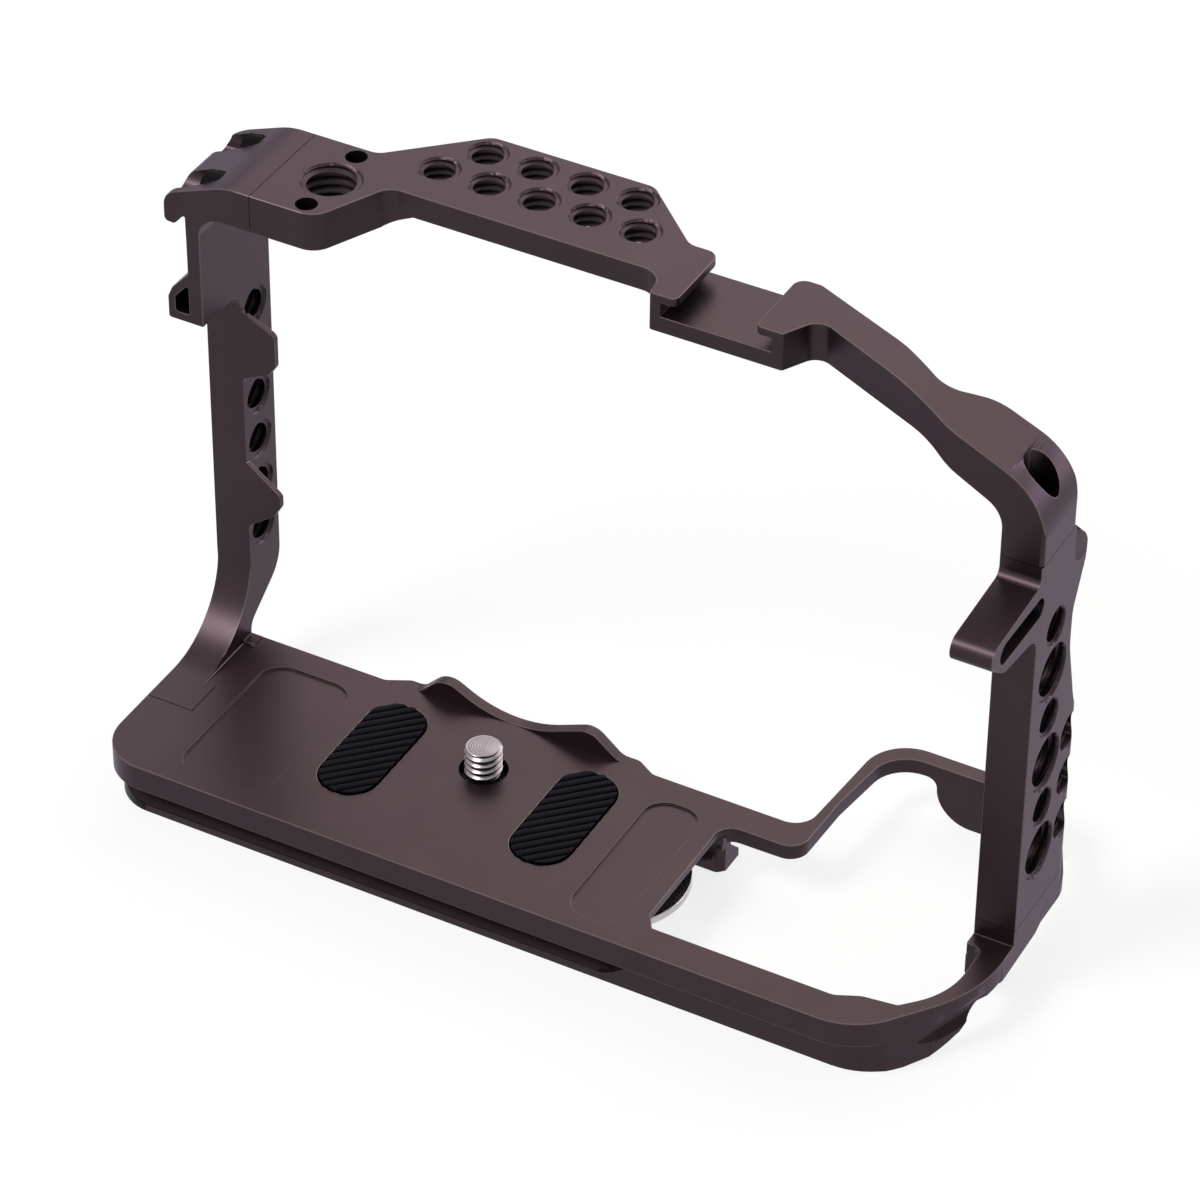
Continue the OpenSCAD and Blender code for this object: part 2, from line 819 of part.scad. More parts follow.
// Side-on form: thick ends, a thinner bar between them and the leg that curves down to the right plate.
module top_front() {
    rounded_outline([
        [x_seam, z_under, 0],
        [-25.5, z_under, 0],
        [-20.5, z_top - bar_wall, 0],
        [shoe_x - shoe_w / 2 - 1.5, z_top - bar_wall, 0],
        [shoe_x - shoe_w / 2, z_under, 0],
        [x_right - 21.1, z_under, 12],
        [x_right_in, z_top - 14.5, 5],
        [x_right_in, z_seam, 0],
        [x_right, z_seam, 0],
        [x_right, z_top - 10.2, 12],
        [x_right - 21.5, z_top, 40],
        [x_seam, z_top, 0]
    ]);
}

// Plan of one lip of the shoe, rounded at its two corners beside the gap.
lip_corners = [
    [shoe_gap / 2, shoe_near, 1.2],
    [shoe_w / 2, shoe_near, 0],
    [shoe_w / 2, shoe_far, 0],
    [shoe_gap / 2, shoe_far, 2.1]
];

module top_plate() {
    color(metal) difference() {
        intersection() {
            plan(z_seam, z_top) top_outline();
            front(0, bar_far + over) top_front();
        }
        // Cold shoe: a slot under two lips with rounded corners, open at both ends.
        translate([shoe_x - shoe_slot / 2, 0, shoe_floor]) cube([shoe_slot, bar_far, shoe_height]);
        translate([shoe_x - shoe_gap / 2, 0, shoe_floor])
            cube([shoe_gap, bar_far, shoe_height + shoe_lip + over]);
        translate([shoe_x, 0, 0]) for (hand = [0, 1]) mirror([hand, 0, 0])
            plan(z_top - shoe_lip - over, z_top + over)
                for (i = [0 : len(lip_corners) - 1]) corner_piece(lip_corners, i, 1);
        translate([large_hole_x, large_hole_y, z_under]) hole(large_d, top_wall);
        for (side = [-1, 1])
            translate([large_hole_x, large_hole_y + side * locator_span / 2, z_top - 4])
                cylinder(d = locator_d, h = 4 + over);
        for (k = [0 : near_row_count - 1])
            translate([near_row_x + k * hole_pitch, near_row_y, z_top - bar_wall])
                hole(small_d, bar_wall);
        for (k = [0 : far_row_count - 1])
            translate([near_row_x + (k + 0.5) * hole_pitch, far_row_y, z_top - bar_wall])
                hole(small_d, bar_wall);
        for (y = top_left_ys) translate([top_left_x, y, top_left_z]) rotate([0, -90, 0])
            screw_room(joint_d, joint_head_d, top_left_length, over);
        translate([top_right_x, top_right_y, top_right_z])
            screw_room(joint_d, joint_head_d, top_right_length, 20);
    }
}

// ---- Camera screw ----

z_head = -ledge_wall - washer_thick;
tip = 0.5;

module camera_screw() {
    color(bright) difference() {
        union() {
            translate([0, 0, z_head - head_thick]) cylinder(d = head_d, h = head_thick);
            translate([0, 0, z_head - head_thick / 2])
                cylinder(d = neck_d, h = head_thick / 2 - z_head - tip);
            translate([0, 0, -2 * tip]) cylinder(d1 = neck_d, d2 = screw_d, h = tip);
            translate([0, 0, -tip]) cylinder(d = screw_d, h = screw_rise);
            translate([0, 0, screw_rise - tip]) cylinder(d1 = screw_d, d2 = screw_d - 2 * tip, h = tip);
        }
        translate([-head_d, -coin_slot / 2, z_head - head_thick - over])
            cube([2 * head_d, coin_slot, head_thick / 2 + over]);
    }
}

module screw_washer() {
    color(black) translate([0, 0, z_head]) difference() {
        cylinder(d = head_d - 1, h = washer_thick);
        translate([0, 0, -over]) cylinder(d = screw_d + 2 * play, h = washer_thick + 2 * over);
    }
}

module screw_retaining_ring() {
    gap = 4;
    color(bright) difference() {
        translate([0, 0, z_ring]) cylinder(r = ring_out, h = ring_thick);
        translate([0, 0, z_ring - over]) cylinder(r = ring_out - ring_width, h = ring_thick + 2 * over);
        translate([-gap / 2, 0, z_ring - over]) cube([gap, 2 * ring_out, ring_thick + 2 * over]);
    }
}

// ---- Pads ----

module rubber_pad(x) {
    rib = rib_pitch * cos(45) * 0.7;
    rib_tall = 0.4;
    count = ceil((pad_l + pad_w) / rib_pitch / 2);
    color(rubber) translate([x, pad_y]) {
        plan(-pad_sink, rib_rise - rib_tall) pad_outline(0);
        plan(rib_rise - rib_tall, rib_rise) intersection() {
            pad_outline(-0.2);
            for (i = [-count : count]) translate([0, i * rib_pitch]) rotate(45)
                square([2 * pad_w, rib], center = true);
        }
    }
}

module rubber_pad_left() {
    rubber_pad(pad_left_x);
}

module rubber_pad_right() {
    rubber_pad(pad_right_x);
}

// ---- Coin key ----

magnet_x = key_x - key_d / 3;
magnet_ys = [key_y - key_d * 0.216, key_y + key_d * 0.216];
inlay_thick = 0.4;

module coin_key() {
    color(bright) translate([key_x, key_y, key_z - key_thick]) difference() {
        cylinder(d = key_d, h = key_thick);
        translate([0, 0, key_thick - inlay_thick])
            cylinder(d = key_d - 2 * key_rim, h = inlay_thick + over);
    }
}

module key_inlay() {
    color(black) translate([key_x, key_y, key_z - inlay_thick])
        cylinder(d = key_d - 2 * key_rim - 2 * fit, h = inlay_thick);
}

module key_magnet(y) {
    color(bright) translate([magnet_x, y, key_z]) cylinder(d = magnet_d, h = magnet_thick - fit);
}

// ---- Joining screws ----

module top_left_screw(y) {
    translate([top_left_x, y, top_left_z]) rotate([0, -90, 0])
        socket_screw(joint_d, joint_head_d, top_left_length);
}

module left_foot_screw(y) {
    translate([left_foot_x, y, left_foot_z]) mirror([0, 0, 1])
        socket_screw(joint_d, joint_head_d, -left_foot_z - 0.8);
}

module right_foot_screw(y) {
    translate([right_foot_x, y, right_foot_z]) mirror([0, 0, 1])
        socket_screw(block_d, block_head_d, block_screw_length);
}

base_plate();
left_side_plate();
right_side_plate();
top_plate();
camera_screw();
screw_washer();
screw_retaining_ring();
rubber_pad_left();
rubber_pad_right();
coin_key();
key_inlay();
key_magnet(magnet_ys[0]);  // key_magnet_near
key_magnet(magnet_ys[1]);  // key_magnet_far
top_left_screw(top_left_ys[0]);  // top_left_screw_near
top_left_screw(top_left_ys[1]);  // top_left_screw_far
translate([top_right_x, top_right_y, top_right_z])  // top_right_screw
        socket_screw(joint_d, joint_head_d, top_right_length);
left_foot_screw(left_foot_ys[0]);  // left_foot_screw_near
left_foot_screw(left_foot_ys[1]);  // left_foot_screw_far
right_foot_screw(right_foot_ys[0]);  // right_foot_screw_near
right_foot_screw(right_foot_ys[1]);  // right_foot_screw_far
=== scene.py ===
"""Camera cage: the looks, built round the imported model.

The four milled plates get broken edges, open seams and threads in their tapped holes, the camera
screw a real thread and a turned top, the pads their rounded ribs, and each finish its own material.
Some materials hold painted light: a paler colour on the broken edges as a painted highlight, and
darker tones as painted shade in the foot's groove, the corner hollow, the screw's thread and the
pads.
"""

import logging
import math
from collections.abc import Callable
from dataclasses import dataclass
from enum import Enum
from typing import ClassVar

import bmesh
import bpy
from mathutils import Matrix, Vector
from mathutils.bvhtree import BVHTree


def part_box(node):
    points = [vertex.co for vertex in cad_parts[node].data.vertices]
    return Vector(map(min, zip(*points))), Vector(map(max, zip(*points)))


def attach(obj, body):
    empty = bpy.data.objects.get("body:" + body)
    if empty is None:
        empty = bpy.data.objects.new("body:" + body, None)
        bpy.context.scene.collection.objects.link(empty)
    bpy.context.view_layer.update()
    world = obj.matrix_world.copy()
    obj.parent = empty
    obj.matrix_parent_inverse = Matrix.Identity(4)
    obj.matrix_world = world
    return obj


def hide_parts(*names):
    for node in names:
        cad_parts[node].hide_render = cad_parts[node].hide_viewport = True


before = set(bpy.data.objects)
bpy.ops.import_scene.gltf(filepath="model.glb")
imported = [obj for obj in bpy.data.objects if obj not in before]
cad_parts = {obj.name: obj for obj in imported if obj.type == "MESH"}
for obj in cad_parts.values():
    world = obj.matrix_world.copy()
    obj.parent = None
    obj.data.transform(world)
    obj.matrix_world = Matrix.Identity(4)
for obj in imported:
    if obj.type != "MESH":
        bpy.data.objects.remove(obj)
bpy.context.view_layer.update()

LOG = logging.getLogger("camera_cage")
MM = 0.001

Pair = tuple[float, float]
Triple = tuple[float, float, float]
FaceTest = Callable[[Vector, Vector], bool]


# ---- Mesh tools ---------------------------------------------------------------------------------


def deselect() -> None:
    """Leaves edit mode and selects nothing."""
    if bpy.context.object is not None and bpy.context.object.mode != "OBJECT":
        bpy.ops.object.mode_set(mode="OBJECT")
    for thing in bpy.context.selected_objects:
        thing.select_set(False)


def activate(piece: bpy.types.Object) -> None:
    """Makes one piece the only selected one.

    Args:
        piece: The object to work on.
    """
    deselect()
    piece.select_set(True)
    bpy.context.view_layer.objects.active = piece


def open_edit(piece: bpy.types.Object) -> None:
    """Opens a piece in edit mode.

    Args:
        piece: The object to edit.
    """
    activate(piece)
    bpy.ops.object.mode_set(mode="EDIT")


def close_edit() -> None:
    """Leaves edit mode."""
    bpy.ops.object.mode_set(mode="OBJECT")


def settle(piece: bpy.types.Object) -> bpy.types.Object:
    """Moves a piece's place, turn and size into its mesh.

    Args:
        piece: The object to settle.

    Returns:
        The same object, at the origin.
    """
    activate(piece)
    bpy.ops.object.transform_apply(location=True, rotation=True, scale=True)
    return piece


def apply_modifiers(piece: bpy.types.Object) -> bpy.types.Object:
    """Applies a piece's modifiers in their order.

    Args:
        piece: The object whose modifiers are applied.

    Returns:
        The same object.
    """
    activate(piece)
    for modifier in list(piece.modifiers):
        bpy.ops.object.modifier_apply(modifier=modifier.name)
    return piece


def merged_copy(node: str, name: str) -> bpy.types.Object:
    """Copies a CAD node and joins its loose triangles into clean flat faces.

    Args:
        node: The node to copy.
        name: The new piece's name.

    Returns:
        The new object.
    """
    doubles, flatness = 0.004, 0.4
    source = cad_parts[node]
    piece = bpy.data.objects.new(name, source.data.copy())
    bpy.context.scene.collection.objects.link(piece)
    piece.data.materials.clear()
    open_edit(piece)
    bpy.ops.mesh.select_all(action="SELECT")
    bpy.ops.mesh.remove_doubles(threshold=doubles * MM)
    bpy.ops.mesh.dissolve_limited(angle_limit=math.radians(flatness))
    close_edit()
    return piece


def shade(piece: bpy.types.Object, degrees: float = 30.0) -> None:
    """Shades a piece smooth, apart from its sharp edges.

    Args:
        piece: The object to shade.
        degrees: The smallest angle of an edge that stays sharp.
    """
    activate(piece)
    bpy.ops.object.shade_smooth_by_angle(angle=math.radians(degrees), keep_sharp_edges=False)


def smooth(piece: bpy.types.Object) -> None:
    """Shades a piece with broken edges smooth and keeps its flat faces flat.

    Args:
        piece: The object to shade.
    """
    shade(piece, 32)
    even = piece.modifiers.new("flat_faces", "WEIGHTED_NORMAL")
    even.mode = "FACE_AREA"
    even.weight = 100
    even.keep_sharp = True
    apply_modifiers(piece)


def bevel(piece: bpy.types.Object, width: float, segments: int = 2, degrees: float = 38.0) -> None:
    """Rounds every edge of a piece that is sharper than an angle.

    Args:
        piece: The object to bevel.
        width: The rounding's width in millimetres.
        segments: Faces across the rounding.
        degrees: The smallest angle of an edge that is rounded.
    """
    rounding = piece.modifiers.new("rounding", "BEVEL")
    rounding.width = width * MM
    rounding.segments = segments
    rounding.limit_method = "ANGLE"
    rounding.angle_limit = math.radians(degrees)
    apply_modifiers(piece)


def pick_faces(piece: bpy.types.Object, wanted: FaceTest) -> int:
    """Selects the faces of a piece in edit mode by place and normal.

    Args:
        piece: The object in edit mode.
        wanted: Takes a face's middle and normal and says whether it is wanted.

    Returns:
        How many faces are selected.
    """
    bpy.ops.mesh.select_mode(type="FACE")
    bpy.ops.mesh.select_all(action="DESELECT")
    mesh = bmesh.from_edit_mesh(piece.data)
    count = 0
    for face in mesh.faces:
        if wanted(face.calc_center_median(), face.normal):
            face.select_set(True)
            count += 1
    bmesh.update_edit_mesh(piece.data)
    return count


def pick_points(piece: bpy.types.Object, wanted: Callable[[Vector], bool]) -> None:
    """Selects the points of a piece in edit mode by place.

    Args:
        piece: The object in edit mode.
        wanted: Takes a point and says whether it is wanted.
    """
    bpy.ops.mesh.select_mode(type="VERT")
    bpy.ops.mesh.select_all(action="DESELECT")
    mesh = bmesh.from_edit_mesh(piece.data)
    for point in mesh.verts:
        if wanted(point.co):
            point.select_set(True)
    mesh.select_flush_mode()
    bmesh.update_edit_mesh(piece.data)


def turned(name: str, steps: list[Pair], vertices: int = 64) -> bpy.types.Object:
    """Turns a round piece about the Z axis, from the bottom up.

    A cylinder is extruded from its top face, and each new face is resized to the next radius.

    Args:
        name: The piece's name.
        steps: Pairs of radius and height, in millimetres.
        vertices: Points round the piece.

    Returns:
        The new object, at the origin.
    """
    (radius, z), (next_radius, top) = steps[0], steps[1]
    deselect()
    bpy.ops.mesh.primitive_cylinder_add(vertices=vertices, radius=radius * MM, depth=(top - z) * MM,
                                        location=(0, 0, (z + top) / 2 * MM))
    piece = settle(bpy.context.object)
    piece.name = name
    open_edit(piece)
    pick_faces(piece, lambda middle, normal: normal.z > 0.9 and abs(middle.z - top * MM) < 1e-7)
    resize_round(next_radius / radius, top)
    for new_radius, new_z in steps[2:]:
        rise = (0, 0, (new_z - top) * MM)
        bpy.ops.mesh.extrude_region_move(TRANSFORM_OT_translate={"value": rise})
        resize_round(new_radius / next_radius, new_z)
        next_radius, top = new_radius, new_z
    close_edit()
    return piece


def resize_round(share: float, z: float) -> None:
    """Resizes what is selected about the Z axis.

    Args:
        share: The new radius over the old one.
        z: The height of the selected face in millimetres.
    """
    if abs(share - 1) > 1e-6:
        bpy.ops.transform.resize(value=(share, share, 1), center_override=(0, 0, z * MM))


def block(middle: Triple, size: Triple) -> bpy.types.Object:
    """Makes a block, which its caller shapes further or cuts with.

    Args:
        middle: Its middle in millimetres.
        size: Its size in millimetres.

    Returns:
        The new object.
    """
    deselect()
    bpy.ops.mesh.primitive_cube_add(size=1, location=[place * MM for place in middle],
                                    scale=[length * MM for length in size])
    return settle(bpy.context.object)


def cut(piece: bpy.types.Object, tool: bpy.types.Object, how: str = "DIFFERENCE") -> None:
    """Combines a piece with a tool and deletes the tool.

    Args:
        piece: The object to change.
        tool: The cutting or keeping object.
        how: The boolean operation.
    """
    modifier = piece.modifiers.new("cut", "BOOLEAN")
    modifier.operation = how
    modifier.solver = "EXACT"
    modifier.object = tool
    apply_modifiers(piece)
    bpy.data.objects.remove(tool)


def join(pieces: list[bpy.types.Object], name: str) -> bpy.types.Object:
    """Joins pieces into one.

    Args:
        pieces: The objects to join.
        name: The joined piece's name.

    Returns:
        The joined object.
    """
    activate(pieces[0])
    for piece in pieces[1:]:
        piece.select_set(True)
    if len(pieces) > 1:
        bpy.ops.object.join()
    joined = bpy.context.view_layer.objects.active
    joined.name = name
    return joined


def copy_at(model: bpy.types.Object, place: Vector, axis: Vector) -> bpy.types.Object:
    """Copies a model that points along +Z to a place, pointing along an axis.

    Args:
        model: The object to copy.
        place: Where the model's origin goes, in metres.
        axis: Where its +Z goes.

    Returns:
        The copy, with its own mesh, at the origin.
    """
    piece = bpy.data.objects.new(model.name + "_copy", model.data.copy())
    bpy.context.scene.collection.objects.link(piece)
    turn = Vector((0, 0, 1)).rotation_difference(axis).to_matrix().to_4x4()
    piece.matrix_world = Matrix.Translation(place) @ turn
    return settle(piece)


def facing_out(piece: bpy.types.Object) -> None:
    """Merges a piece's doubles and turns its faces outwards.

    Args:
        piece: The object to mend.
    """
    open_edit(piece)
    bpy.ops.mesh.select_all(action="SELECT")
    bpy.ops.mesh.remove_doubles(threshold=0.001 * MM)
    bpy.ops.mesh.normals_make_consistent(inside=False)
    close_edit()


# ---- Finishes -----------------------------------------------------------------------------------


class Grain(Enum):
    """What a finish's fine relief looks like."""

    EVEN = "even"
    TURNED = "turned"


@dataclass(frozen=True)
class Finish:
    """A material on the main shader, with a fine procedural relief.

    Attributes:
        name: The material's name.
        slot: The record's material slot; not used.
        colour: Base colour, linear.
        metallic: 1 for bare or anodised metal.
        roughness: Mean roughness.
        roughness_play: How far the grain moves the roughness.
        grain: Size of the grain in millimetres.
        bump: Height of the grain in millimetres.
        colour_play: Share of the colour that slow blotches add or take.
        blotch: Size of the blotches in millimetres.
        relief: What the grain looks like.
        centre: Axis of a turned grain in millimetres, X and Y.
        specular: Strength of the gloss on a finish that isn't metal.
        sheen: Tint of what a slanted view reflects.
    """

    name: str
    slot: str
    colour: Triple
    metallic: float
    roughness: float
    roughness_play: float = 0.04
    grain: float = 0.12
    bump: float = 0.004
    colour_play: float = 0.05
    blotch: float = 14.0
    relief: Grain = Grain.EVEN
    centre: Pair = (0.0, 0.0)
    specular: float = 0.5
    sheen: Triple = (1.0, 1.0, 1.0)

    WAVE: ClassVar[float] = 20.0  # radians that a wave texture turns in one unit at scale 1

    def height(self, tree: bpy.types.NodeTree, place: bpy.types.NodeSocket) -> bpy.types.NodeSocket:
        """Adds the nodes of the fine relief.

        Args:
            tree: The material's nodes.
            place: The socket that gives Object coordinates.

        Returns:
            The socket that gives the relief's height.
        """
        nodes, links = tree.nodes, tree.links
        if self.relief is Grain.TURNED:
            shift = nodes.new("ShaderNodeMapping")
            shift.inputs["Location"].default_value = (-self.centre[0] * MM, -self.centre[1] * MM, 0)
            links.new(place, shift.inputs["Vector"])
            rings = nodes.new("ShaderNodeTexWave")
            rings.wave_type = "RINGS"
            rings.rings_direction = "Z"
            rings.inputs["Scale"].default_value = 2 * math.pi / (self.WAVE * self.grain * MM)
            rings.inputs["Distortion"].default_value = 0.4
            links.new(shift.outputs["Vector"], rings.inputs["Vector"])
            return rings.outputs["Fac"]
        grain = nodes.new("ShaderNodeTexNoise")
        grain.inputs["Scale"].default_value = 1.0 / (self.grain * MM)
        grain.inputs["Detail"].default_value = 2.0
        links.new(place, grain.inputs["Vector"])
        return grain.outputs["Fac"]

    def roughen(self, tree: bpy.types.NodeTree, height: bpy.types.NodeSocket) -> None:
        """Lets the fine relief move the roughness and the normal.

        Args:
            tree: The material's nodes.
            height: The socket that gives the relief's height.
        """
        nodes, links = tree.nodes, tree.links
        shader = nodes["Principled BSDF"]
        spread = nodes.new("ShaderNodeMapRange")
        spread.inputs["To Min"].default_value = self.roughness - self.roughness_play
        spread.inputs["To Max"].default_value = self.roughness + self.roughness_play
        links.new(height, spread.inputs["Value"])
        links.new(spread.outputs["Result"], shader.inputs["Roughness"])
        relief = nodes.new("ShaderNodeBump")
        relief.inputs["Strength"].default_value = 1.0
        relief.inputs["Distance"].default_value = self.bump * MM
        links.new(height, relief.inputs["Height"])
        links.new(relief.outputs["Normal"], shader.inputs["Normal"])

    def tint(self, tree: bpy.types.NodeTree, place: bpy.types.NodeSocket) -> None:
        """Lays slow blotches over the colour.

        Args:
            tree: The material's nodes.
            place: The socket that gives Object coordinates.
        """
        nodes, links = tree.nodes, tree.links
        blotch = nodes.new("ShaderNodeTexNoise")
        blotch.inputs["Scale"].default_value = 1.0 / (self.blotch * MM)
        blotch.inputs["Detail"].default_value = 3.0
        links.new(place, blotch.inputs["Vector"])
        ramp = nodes.new("ShaderNodeValToRGB")
        ends = ((0.3, 1 - self.colour_play), (0.7, 1 + self.colour_play))
        for element, (position, share) in zip(ramp.color_ramp.elements, ends):
            element.position = position
            element.color = (*(channel * share for channel in self.colour), 1)
        links.new(blotch.outputs["Fac"], ramp.inputs["Fac"])
        links.new(ramp.outputs["Color"], nodes["Principled BSDF"].inputs["Base Color"])

    def material(self) -> bpy.types.Material:
        """Builds the material at its first use.

        Returns:
            The material.
        """
        found = bpy.data.materials.get(self.name + "_finish")
        if found is not None:
            return found
        material = bpy.data.materials.new(self.name + "_finish")
        material.use_nodes = True
        tree = material.node_tree
        shader = tree.nodes["Principled BSDF"]
        shader.inputs["Metallic"].default_value = self.metallic
        shader.inputs["Specular IOR Level"].default_value = self.specular
        shader.inputs["Specular Tint"].default_value = (*self.sheen, 1)
        place = tree.nodes.new("ShaderNodeTexCoord").outputs["Object"]
        self.roughen(tree, self.height(tree, place))
        self.tint(tree, place)
        return material

    def dress(self, piece: bpy.types.Object) -> None:
        """Gives a piece this finish all over.

        Args:
            piece: The object to dress.
        """
        piece.data.materials.clear()
        piece.data.materials.append(self.material())


# The lavender tint of slanted reflections is in part the anodising's own and in part a painted
# reflection of bluish light.
LAVENDER_TINT_AND_REFLECTION = (0.96, 0.88, 1.0)
KEY_CENTRE = (27.9, -6.2)

ANODISED = Finish("anodised_grey", "anodised_aluminium", (0.043, 0.031, 0.036), 1.0, 0.4, 0.06,
                  sheen=LAVENDER_TINT_AND_REFLECTION)
# Painted highlight: the broken edges get this paler colour, standing in for the light that they
# catch.
ANODISED_EDGE_HIGHLIGHT = Finish("anodised_painted_edge_highlight", "anodised_aluminium", (0.11, 0.085, 0.083), 1.0, 0.42,
                       sheen=LAVENDER_TINT_AND_REFLECTION)
# Painted shade: darker tones of the anodising for the foot's near groove and lip and the corner
# hollow, where little light comes.
ANODISED_GROOVE_SHADE = Finish("anodised_groove_painted_shade", "anodised_aluminium", (0.01, 0.007, 0.0085), 1.0, 0.5)
ANODISED_HOLLOW_SHADE = Finish("anodised_hollow_painted_shade", "anodised_aluminium", (0.02, 0.014, 0.017), 1.0, 0.45)
TURNED_STEEL = Finish("turned_steel", "bright_steel", (0.22, 0.195, 0.225), 1.0, 0.36, grain=0.42,
                      bump=0.03, relief=Grain.TURNED)
# The thread's steel is paler than the turned body's: in part a painted highlight on the crests.
THREAD_STEEL_AND_HIGHLIGHT = Finish("rolled_steel_and_highlight", "bright_steel", (0.27, 0.245, 0.255), 1.0, 0.3, grain=0.3)
KEY_STEEL = Finish("key_steel", "bright_steel", (0.55, 0.52, 0.53), 1.0, 0.3, grain=0.4,
                   relief=Grain.TURNED, centre=KEY_CENTRE)
# Painted shade for the camera screw: its core between the thread's turns and the ridge's undersides.
STEEL_PAINTED_SHADE = Finish("steel_painted_shade", "bright_steel", (0.012, 0.01, 0.011), 1.0, 0.5)
SPRING = Finish("spring_steel", "spring_steel", (0.3, 0.3, 0.31), 1.0, 0.4)
NICKEL = Finish("magnet_nickel", "magnet_nickel", (0.68, 0.66, 0.63), 1.0, 0.25)
# The socket screws' black oxide, made darker and duller still as painted shade, as if their heads
# sat deeper in their wells.
BLACK_OXIDE_AND_SHADE = Finish("black_oxide_and_painted_shade", "black_steel", (0.005, 0.004, 0.0045), 0.0, 0.6, specular=0.03)
NYLON = Finish("black_nylon", "black_nylon", (0.02, 0.02, 0.02), 0.0, 0.5)
INLAY = Finish("black_inlay", "black_inlay", (0.013, 0.012, 0.015), 0.0, 0.5)
RUBBER = Finish("pad_rubber", "pad_rubber", (0.0065, 0.006, 0.0085), 0.0, 0.7, grain=0.25,
                bump=0.012, specular=0.05)
# Painted shade for the pads: the base between the ribs and the ribs' sides.
RUBBER_PAINTED_SHADE = Finish("rubber_painted_shade", "pad_rubber", (0.003, 0.003, 0.004), 0.0, 0.8, specular=0.0)


def paint(piece: bpy.types.Object, finish: Finish, wanted: FaceTest) -> None:
    """Gives some of a piece's faces a material of their own; every use here paints shade into them
    or takes a painted highlight off them.

    Args:
        piece: The object, which has its main material already.
        finish: The finish of the chosen faces.
        wanted: Takes a face's middle and normal and says whether it is wanted.
    """
    open_edit(piece)
    found = pick_faces(piece, wanted)
    if found and finish.material().name not in piece.data.materials:
        piece.data.materials.append(finish.material())
    if found:
        piece.active_material_index = piece.data.materials.find(finish.material().name)
        bpy.ops.object.material_slot_assign()
    close_edit()


# ---- Studio -------------------------------------------------------------------------------------


@dataclass(frozen=True)
class Lamp:
    """A soft lamp that faces the object.

    Attributes:
        name: The lamp's name.
        place: Where it stands, in metres.
        size: Its width and height, in metres.
        watts: Its power.
        colour: Its colour.
    """

    name: str
    place: Triple
    size: Pair
    watts: float
    colour: Triple = (1.0, 1.0, 1.0)

    AIM: ClassVar[Triple] = (0.02, 0.0, 0.04)

    def build(self) -> None:
        """Adds the lamp to the scene."""
        data = bpy.data.lights.new(self.name, "AREA")
        data.shape = "RECTANGLE"
        data.size, data.size_y = self.size
        data.energy = self.watts
        data.color = self.colour
        lamp = bpy.data.objects.new(self.name, data)
        bpy.context.scene.collection.objects.link(lamp)
        lamp.location = self.place
        aim = Vector(self.AIM) - Vector(self.place)
        lamp.rotation_euler = aim.to_track_quat("-Z", "Y").to_euler()


